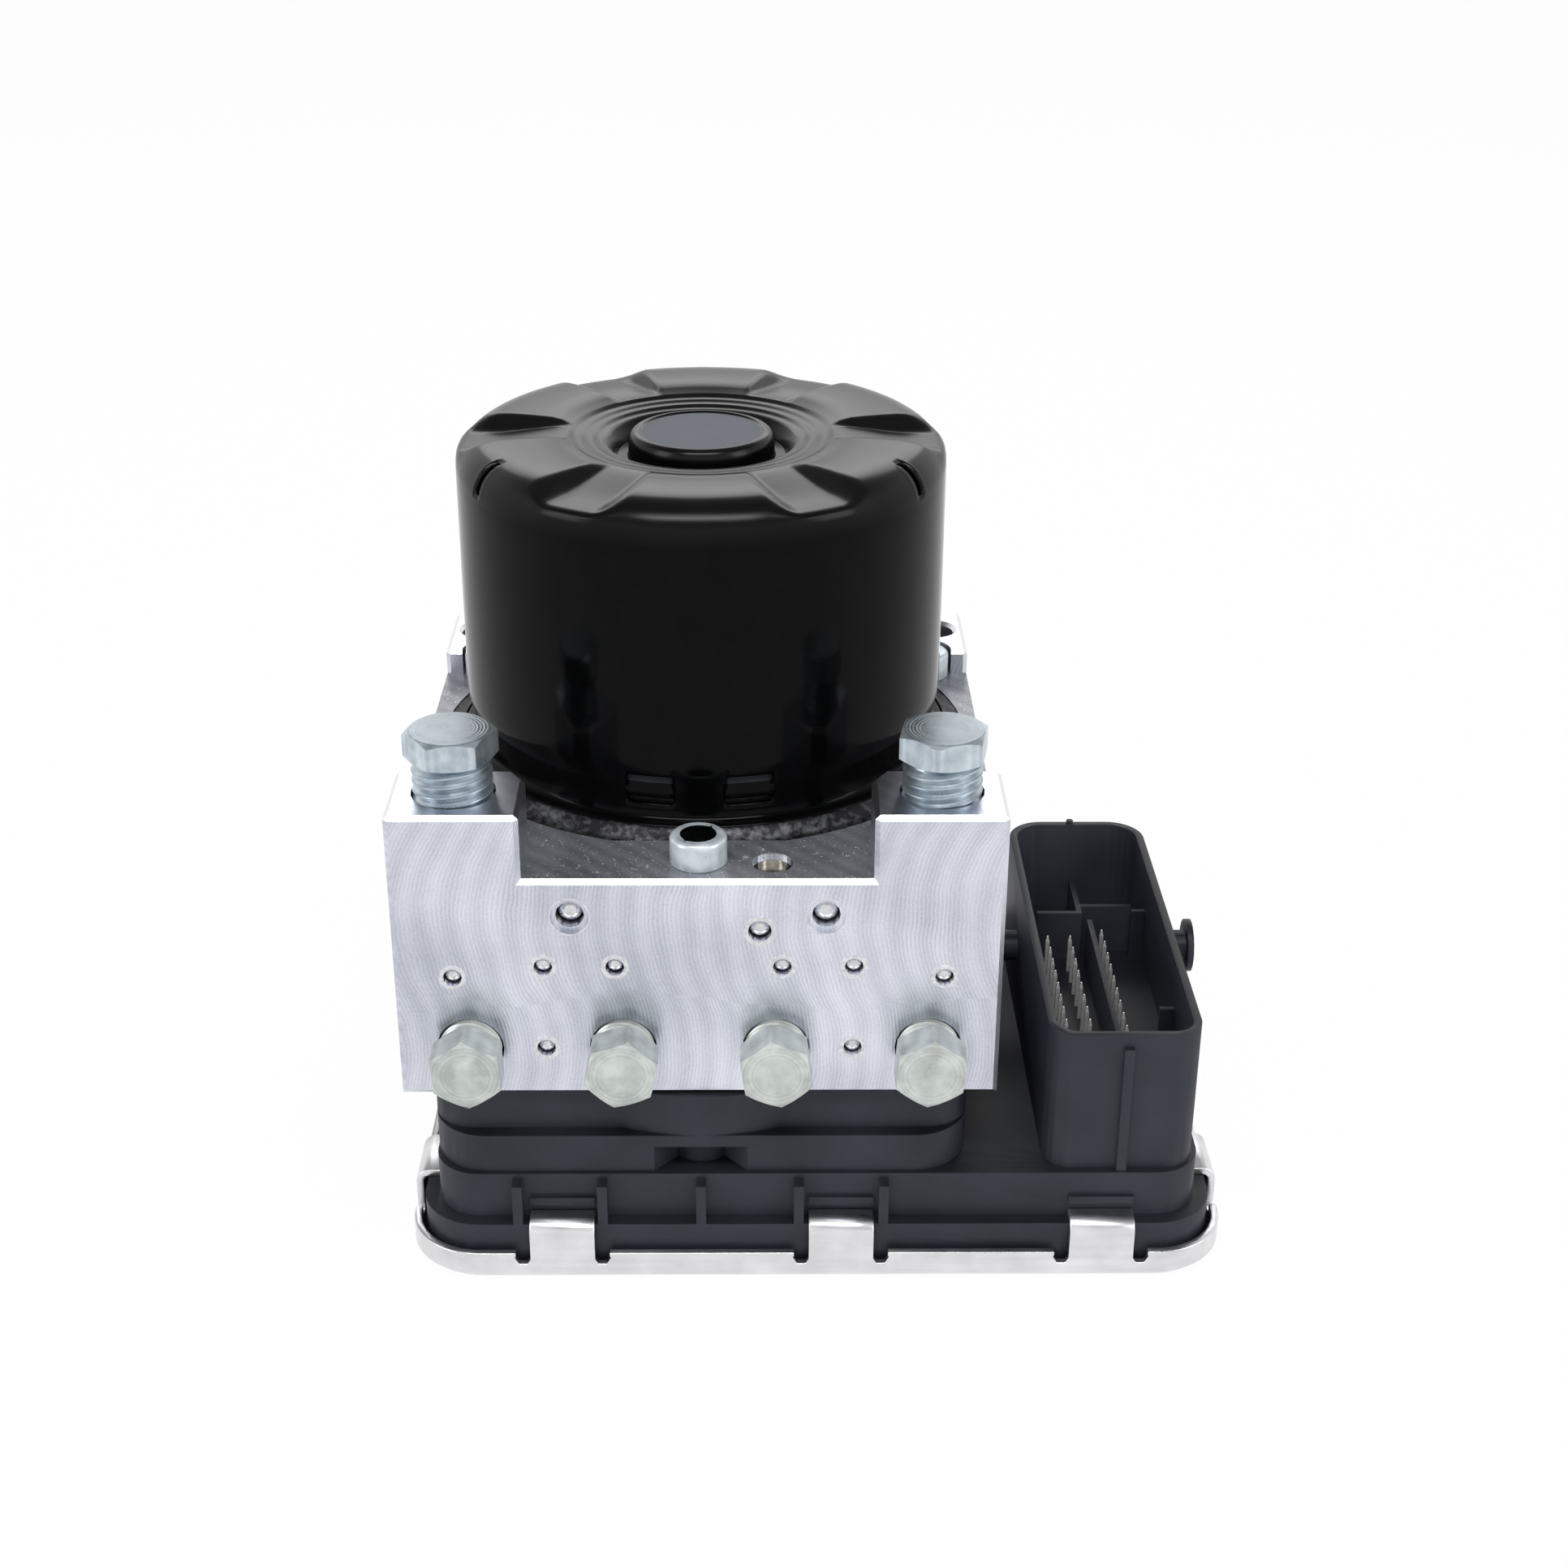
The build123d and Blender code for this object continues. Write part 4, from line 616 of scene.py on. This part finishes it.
# Fine rings, then the boss that holds the upper bearing
boss_profile = ((20.4, 117.34), (20.1, 117.05), (19.2, 116.95), (18.6, 117.0), (18.3, 116.82),
                (17.2, 116.7), (16.8, 116.76), (16.5, 116.5), (15.6, 116.35), (15.2, 116.38),
                (14.7, 116.05), (14.0, 115.5), (13.5, 114.8), (13.2, 114.1), (13.1, 113.9),
                (11.6, 113.85), (11.45, 114.1), (11.4, 115.6), (11.3, 116.6), (11.0, 117.3),
                (10.6, 117.65), (10.1, 117.8), (9.7, 117.8), (9.5, 117.6), (9.35, 117.55),
                (9.2, 117.55), (1.0, 117.55), (0.0, 117.55))


def stepped(value, edge):
    """A smooth step from nought to one across an edge."""
    share = min(1.0, max(0.0, value / edge * 0.5 + 0.5))
    return share * share * (3 - 2 * share)


can = bmesh.new()
level_of = can.verts.layers.int.new("level")
outline = [(r, z, r, z) for r, z in can_profile]
outline += [lobe + valley for lobe, valley in end_profile]
outline += [(r, z, r, z) for r, z in boss_profile]
first = [can.verts.new((0, -level[0] * mm, level[1] * mm)) for level in outline]
for one, two in zip(first, first[1:]):
    can.edges.new((one, two))
for i, vert in enumerate(first):
    vert[level_of] = i
bmesh.ops.spin(can, geom=can.verts[:] + can.edges[:], cent=(0, 0, 0), axis=(0, 0, 1), dvec=(0, 0, 0),
               angle=2 * math.pi, steps=can_steps, use_merge=True, use_duplicate=False)
bmesh.ops.remove_doubles(can, verts=can.verts[:], dist=0.00001)
for vert in can.verts:
    lobe_r, lobe_z, valley_r, valley_z = outline[vert[level_of]]
    turn = math.atan2(vert.co.y, vert.co.x)
    # Lobes stand at -90 degrees and every 60 degrees from there
    off_lobe = abs((turn + math.pi / 2 + math.pi / 6) % (math.pi / 3) - math.pi / 6)
    far = min(1.0, max(0.0, (lobe_r - 21.0) / 16.0))
    wall = wall_half + (wall_at_rim - wall_half) * far
    share = stepped(off_lobe - lobe_half - 0.35 * wall, wall)
    reach = (lobe_r + (valley_r - lobe_r) * share) * mm
    vert.co = Vector((reach * math.cos(turn), reach * math.sin(turn),
                      (lobe_z + (valley_z - lobe_z) * share) * mm))

# Vent slots through the shoulder, with their edges turned up a little
slot_half = math.radians(1.1)
for middle in (-29.5, -150.5, 90.5):
    gone = []
    for face in can.faces:
        spot = face.calc_center_median()
        turn = (math.atan2(spot.y, spot.x) - math.radians(middle) + math.pi) % (2 * math.pi) - math.pi
        reach = math.hypot(spot.x, spot.y)
        if abs(turn) < slot_half and spot.z > slot_low and reach > slot_inner:
            gone.append(face)
    rim = {v for f in gone for v in f.verts}
    bmesh.ops.delete(can, geom=gone, context="FACES")
    for vert in rim:
        if vert.is_valid:
            vert.co += Vector((vert.co.x, vert.co.y, 0)).normalized() * 0.05 * mm
            vert.co.z += 0.1 * mm if vert.co.z < can_top else 0.0

# Windows in the neck: the steel is slit and its tongue pressed inwards. Each step of the tongue is
# a way inwards and a way down, in mm
tongue_steps = ((0.55, 0.35), (0.5, 0.55), (-0.1, 0.9), (-0.45, 1.3), (-0.3, 0.9))
for side in range(3):
    for low, high in ((-17.5, -6.5), (5.5, 16.5)):
        gone = []
        for face in can.faces:
            spot = face.calc_center_median()
            turn = math.degrees(math.atan2(spot.y, spot.x)) + 90 - 120 * side
            turn = (turn + 180) % 360 - 180
            if low < turn < high and window_low < spot.z < window_high:
                gone.append(face)
        top = max(v.co.z for f in gone for v in f.verts)
        tongue = [e for f in gone for e in f.edges if all(abs(v.co.z - top) < 0.01 * mm
                                                           for v in e.verts)]
        bmesh.ops.delete(can, geom=gone, context="FACES")
        tongue = [e for e in dict.fromkeys(tongue) if e.is_valid]
        facing = math.radians(-90 + 120 * side + (low + high) / 2)
        inward = Vector((-math.cos(facing), -math.sin(facing), 0))
        for sink, drop in tongue_steps:
            grown = bmesh.ops.extrude_edge_only(can, edges=tongue)["geom"]
            moved = [g for g in grown if isinstance(g, bmesh.types.BMVert)]
            tongue = [g for g in grown if isinstance(g, bmesh.types.BMEdge)
                      and all(v in moved for v in g.verts)]
            bmesh.ops.translate(can, verts=moved, vec=inward * sink * mm + Vector((0, 0, -drop * mm)))

enamel, nodes, links, shader, place = new_finish("gloss_black_coat", 0.0, 0.1)
dust = speckle(nodes, links, place, 1400.0, 3.0)
ripple = speckle(nodes, links, place, 220.0, 3.0)
at = axes_of(nodes, links, place)
square = sum_of(nodes, links, "MULTIPLY", at["Y"], at["Y"])
square = sum_of(nodes, links, "ADD", square, sum_of(nodes, links, "MULTIPLY", at["X"], at["X"]))
reach = sum_of(nodes, links, "SQRT", square)
# The boss's face was masked when the can was coated, so it is a flat matt blue-grey
matt_and_sheen = sum_of(nodes, links, "MULTIPLY",
              sum_of(nodes, links, "LESS_THAN", reach, boss_face_radius),
              sum_of(nodes, links, "GREATER_THAN", at["Z"], can_top - 0.5 * mm))
# The tongues of the windows get a painted reflection: a share of the matt grey lightens them, and
# they are made a little rougher
tongue_sheen = sum_of(nodes, links, "MULTIPLY", sum_of(nodes, links, "LESS_THAN", reach, 37.25 * mm),
              between(nodes, links, at["Z"], window_low + 1.0 * mm, window_high - 0.6 * mm))
matt_and_sheen = sum_of(nodes, links, "MULTIPLY_ADD", tongue_sheen, 0.3, matt_and_sheen)
coat_colour = toned(nodes, links, ripple, (0.0012, 0.0013, 0.0015), (0.0022, 0.0024, 0.0027))
links.new(mixed(nodes, links, matt_and_sheen, coat_colour, (0.10, 0.107, 0.128)), shader.inputs["Base Color"])
end = sum_of(nodes, links, "GREATER_THAN", at["Z"], 113.5 * mm)
gloss = sum_of(nodes, links, "MULTIPLY_ADD", end, 0.1, ranged(nodes, links, ripple, 0.08, 0.15))
links.new(sum_of(nodes, links, "MULTIPLY_ADD", matt_and_sheen, 0.4, gloss), shader.inputs["Roughness"])
# The coat flowed thicker over the end, which mirrors more than the wall
end_share = nodes.new("ShaderNodeMapRange")
for name, value in {"From Min": 112 * mm, "From Max": 117 * mm, "To Min": 0.07,
                    "To Max": 0.2}.items():
    end_share.inputs[name].default_value = value
links.new(at["Z"], end_share.inputs["Value"])
links.new(end_share.outputs["Result"], shader.inputs["Specular IOR Level"])
under = relief(nodes, links, ripple, 0.02 * mm, 0.25)
links.new(relief(nodes, links, dust, 0.008 * mm, 0.2, under), shader.inputs["Normal"])
can_piece = finished_piece(can, "motor_can_pressed", "module", enamel, 50.0)
sheet = can_piece.modifiers.new("sheet", "SOLIDIFY")
sheet.thickness = 1.0 * mm
sheet.offset = -1.0
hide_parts("motor_can")

# The staked rim: aluminium that a punch rolled over the can's flange, dark and pitted by the
# punch, with a flat at the front, where it had no room, and at the block's rear face.

stake_flat_y = -40.65 * mm
stake = bmesh.new()
profile = [(39.42, 66.35), (39.42, 68.1), (39.6, 68.35), (40.0, 68.3), (40.6, 67.5), (41.1, 67.0),
           (41.6, 66.7), (42.7, 66.62), (42.7, 66.35)]
first = [stake.verts.new((0, -r * mm, z * mm)) for r, z in profile]
for one, two in zip(first, first[1:] + first[:1]):
    stake.edges.new((one, two))
bmesh.ops.spin(stake, geom=stake.verts[:] + stake.edges[:], cent=(0, 0, 0), axis=(0, 0, 1),
               dvec=(0, 0, 0), angle=2 * math.pi, steps=240, use_merge=True, use_duplicate=False)
bmesh.ops.remove_doubles(stake, verts=stake.verts[:], dist=0.00001)
for vert in stake.verts:
    vert.co.y = min(max(vert.co.y, stake_flat_y), block_high.y - 0.05 * mm)
staked, nodes, links, shader, place = new_finish("staked_aluminium", 1.0, 0.4)
pits = speckle(nodes, links, place, 1100.0, 8.0)
patch = speckle(nodes, links, place, 260.0, 4.0)
tone = sum_of(nodes, links, "MULTIPLY_ADD", patch, 0.5, sum_of(nodes, links, "MULTIPLY", pits, 0.6))
links.new(toned(nodes, links, tone, (0.028, 0.028, 0.031), (0.26, 0.265, 0.28), 0.5, 0.9),
          shader.inputs["Base Color"])
links.new(ranged(nodes, links, pits, 0.35, 0.65), shader.inputs["Roughness"])
links.new(relief(nodes, links, pits, 0.05 * mm, 0.7), shader.inputs["Normal"])
finished_piece(stake, "staked_rim", "module", staked, 60.0)

# The control unit's housing: one black moulding in glass-filled plastic, with a fine matt grain.
# It carries the coils above, the board below, and the connector tower at the side.


def eased_copy(node, name, edge, body, finish, angle=28.0):
    """A piece with a node's own shape and softened edges, which stands for the node."""
    shape = bmesh.new()
    shape.from_mesh(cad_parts[node].data)
    bmesh.ops.remove_doubles(shape, verts=shape.verts[:], dist=0.000002)
    bmesh.ops.dissolve_limit(shape, angle_limit=math.radians(0.5), verts=shape.verts[:],
                             edges=shape.edges[:], use_dissolve_boundaries=False)
    data = bpy.data.meshes.new(name)
    shape.to_mesh(data)
    shape.free()
    data.materials.append(finish)
    data.shade_smooth()
    piece = bpy.data.objects.new(name, data)
    bpy.context.scene.collection.objects.link(piece)
    soften = piece.modifiers.new("soften", "BEVEL")
    soften.width = edge
    soften.segments = 2
    soften.limit_method = "ANGLE"
    soften.angle_limit = math.radians(angle)
    soften.use_clamp_overlap = True
    soften.harden_normals = True
    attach(piece, body)
    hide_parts(node)
    return piece


plastic, nodes, links, shader, place = new_finish("housing_plastic", 0.0, 0.42)
grain = speckle(nodes, links, place, 3200.0, 3.0)
flow = speckle(nodes, links, place, 70.0, 4.0)
# Faces that lie flat get a painted shade: their colour is scaled darker than the walls'
flat_face_painted_shade = sum_of(nodes, links, "GREATER_THAN", rise_of(nodes, links), 0.7)
wall_colour = toned(nodes, links, flow, (0.0215, 0.0240, 0.0325), (0.032, 0.0355, 0.0485))
links.new(scaled(nodes, links, wall_colour, ranged(nodes, links, flat_face_painted_shade, 1.0, 0.42)),
          shader.inputs["Base Color"])
links.new(ranged(nodes, links, flow, 0.4, 0.52), shader.inputs["Roughness"])
shader.inputs["Specular IOR Level"].default_value = 0.25
links.new(relief(nodes, links, grain, 0.02 * mm, 0.5), shader.inputs["Normal"])
eased_copy("ecu_housing", "ecu_housing_moulding", 0.25 * mm, "module", plastic)

# The connector pins: tinned brass pins in three rows, moulded into the tower's floor.

tinned, nodes, links, shader, place = new_finish("tinned_brass", 0.5, 0.32)
haze = speckle(nodes, links, place, 2500.0)
links.new(toned(nodes, links, haze, (0.68, 0.67, 0.65), (0.88, 0.87, 0.85)),
          shader.inputs["Base Color"])
links.new(relief(nodes, links, haze, 0.01 * mm, 0.5), shader.inputs["Normal"])
dress(tinned, "connector_pins", "coil_pins", "lead_blades")

# The base cover: pressed from bright aluminium sheet, with a rolled rim and eight clips bent over
# the housing's ledge.

sheet_metal, nodes, links, shader, place = new_finish("bright_aluminium_sheet", 1.0, 0.3)
stretch = nodes.new("ShaderNodeMapping")
stretch.inputs["Scale"].default_value = (60.0, 900.0, 900.0)
links.new(place, stretch.inputs["Vector"])
rolling = nodes.new("ShaderNodeTexNoise")
rolling.inputs["Scale"].default_value = 1.0
rolling.inputs["Detail"].default_value = 5.0
links.new(stretch.outputs[0], rolling.inputs["Vector"])
haze = speckle(nodes, links, place, 150.0)
tone = sum_of(nodes, links, "MULTIPLY_ADD", rolling.outputs["Fac"], 0.3,
              sum_of(nodes, links, "MULTIPLY", haze, 0.7))
links.new(toned(nodes, links, tone, (0.62, 0.62, 0.64), (0.84, 0.84, 0.85)),
          shader.inputs["Base Color"])
links.new(ranged(nodes, links, haze, 0.22, 0.4), shader.inputs["Roughness"])
links.new(relief(nodes, links, rolling.outputs["Fac"], 0.02 * mm, 0.4), shader.inputs["Normal"])
eased_copy("base_cover", "base_cover_pressed", 0.2 * mm, "module", sheet_metal)


def plain_finish(name, dark, light, metal, roughness, per_metre, depth):
    """A cloudy, slightly rough finish for the pieces inside."""
    made, nodes, links, shader, place = new_finish(name, metal, roughness)
    cloud = speckle(nodes, links, place, per_metre)
    links.new(toned(nodes, links, cloud, dark, light), shader.inputs["Base Color"])
    links.new(ranged(nodes, links, cloud, roughness * 0.8, roughness * 1.2),
              shader.inputs["Roughness"])
    links.new(relief(nodes, links, cloud, depth, 0.6), shader.inputs["Normal"])
    return made


# The seals: moulded black rubber. The gasket lies in the coil box's groove, the bead under the
# tray's skirt and the ring between the motor and the block.

rubber = plain_finish("seal_rubber", (0.012, 0.012, 0.012), (0.03, 0.03, 0.03), 0.0, 0.7, 900.0,
                      0.03 * mm)
dress(rubber, "housing_gasket", "cover_seal", "motor_seal")

# The motor inside: sintered ferrite magnets bonded in the can, a moulded brush plate with carbon
# brushes, and a rotor of stacked steel sheet, enamelled copper, commutator and ground shaft.

ferrite = plain_finish("ferrite", (0.03, 0.03, 0.032), (0.07, 0.07, 0.075), 0.0, 0.6, 1500.0,
                       0.03 * mm)
brush_plastic = plain_finish("brush_plate_plastic", (0.05, 0.045, 0.04), (0.09, 0.08, 0.07), 0.0,
                             0.5, 1200.0, 0.02 * mm)
carbon = plain_finish("brush_carbon", (0.02, 0.02, 0.02), (0.05, 0.048, 0.046), 0.1, 0.5, 2500.0,
                      0.02 * mm)
copper = plain_finish("enamelled_copper", (0.42, 0.14, 0.06), (0.62, 0.26, 0.12), 0.9, 0.3, 1600.0,
                      0.05 * mm)
core_steel, nodes, links, shader, place = new_finish("stacked_core_steel", 1.0, 0.4)
layers = nodes.new("ShaderNodeTexWave")
layers.bands_direction = "Z"
layers.inputs["Scale"].default_value = 320.0
layers.inputs["Distortion"].default_value = 0.3
links.new(place, layers.inputs["Vector"])
links.new(toned(nodes, links, layers.outputs["Fac"], (0.12, 0.12, 0.13), (0.36, 0.36, 0.38)),
          shader.inputs["Base Color"])
links.new(relief(nodes, links, layers.outputs["Fac"], 0.05 * mm, 0.6), shader.inputs["Normal"])
bare_steel = plain_finish("ground_steel", (0.42, 0.42, 0.43), (0.62, 0.62, 0.64), 1.0, 0.25, 1400.0,
                          0.01 * mm)
dress(ferrite, "motor_magnets")
dress(brush_plastic, "brush_plate", "motor_lead")
dress(carbon, "carbon_brushes")
dress(copper, "armature_windings", "commutator", "coil_windings")
dress(core_steel, "armature_core", "coil_yokes")
dress(bare_steel, "motor_shaft", "upper_bearing", "lower_bearing", "eccentric_bush",
      "eccentric_bearing", "pump_piston_left", "pump_piston_right")

# The pumps, accumulators and valves inside the block: aluminium pistons and caps, and valve
# bodies of nickel-plated steel under their coils.

bare_aluminium = plain_finish("turned_aluminium", (0.56, 0.57, 0.59), (0.66, 0.67, 0.69), 1.0, 0.32,
                              500.0, 0.01 * mm)
valve_nickel = plain_finish("valve_nickel", (0.40, 0.38, 0.35), (0.62, 0.60, 0.56), 1.0, 0.28,
                            1300.0, 0.01 * mm)
dress(bare_aluminium, "accumulator_piston_left", "accumulator_piston_right", "accumulator_caps",
      "pump_caps")
dress(valve_nickel, "inlet_valves", "outlet_valves")

# The board and what stands on it: green laminate, black chip packages and aluminium capacitors.
# The screw inserts are knurled brass.

laminate = plain_finish("board_laminate", (0.01, 0.07, 0.03), (0.02, 0.13, 0.055), 0.0, 0.45, 500.0,
                        0.02 * mm)
chip_plastic = plain_finish("chip_plastic", (0.015, 0.015, 0.016), (0.035, 0.035, 0.036), 0.0, 0.55,
                            2500.0, 0.01 * mm)
brass = plain_finish("insert_brass", (0.48, 0.34, 0.12), (0.70, 0.52, 0.22), 1.0, 0.3, 1400.0,
                     0.02 * mm)
dress(laminate, "circuit_board")
dress(chip_plastic, "board_chips")
dress(bare_aluminium, "board_capacitors")
dress(brass, "threaded_inserts")
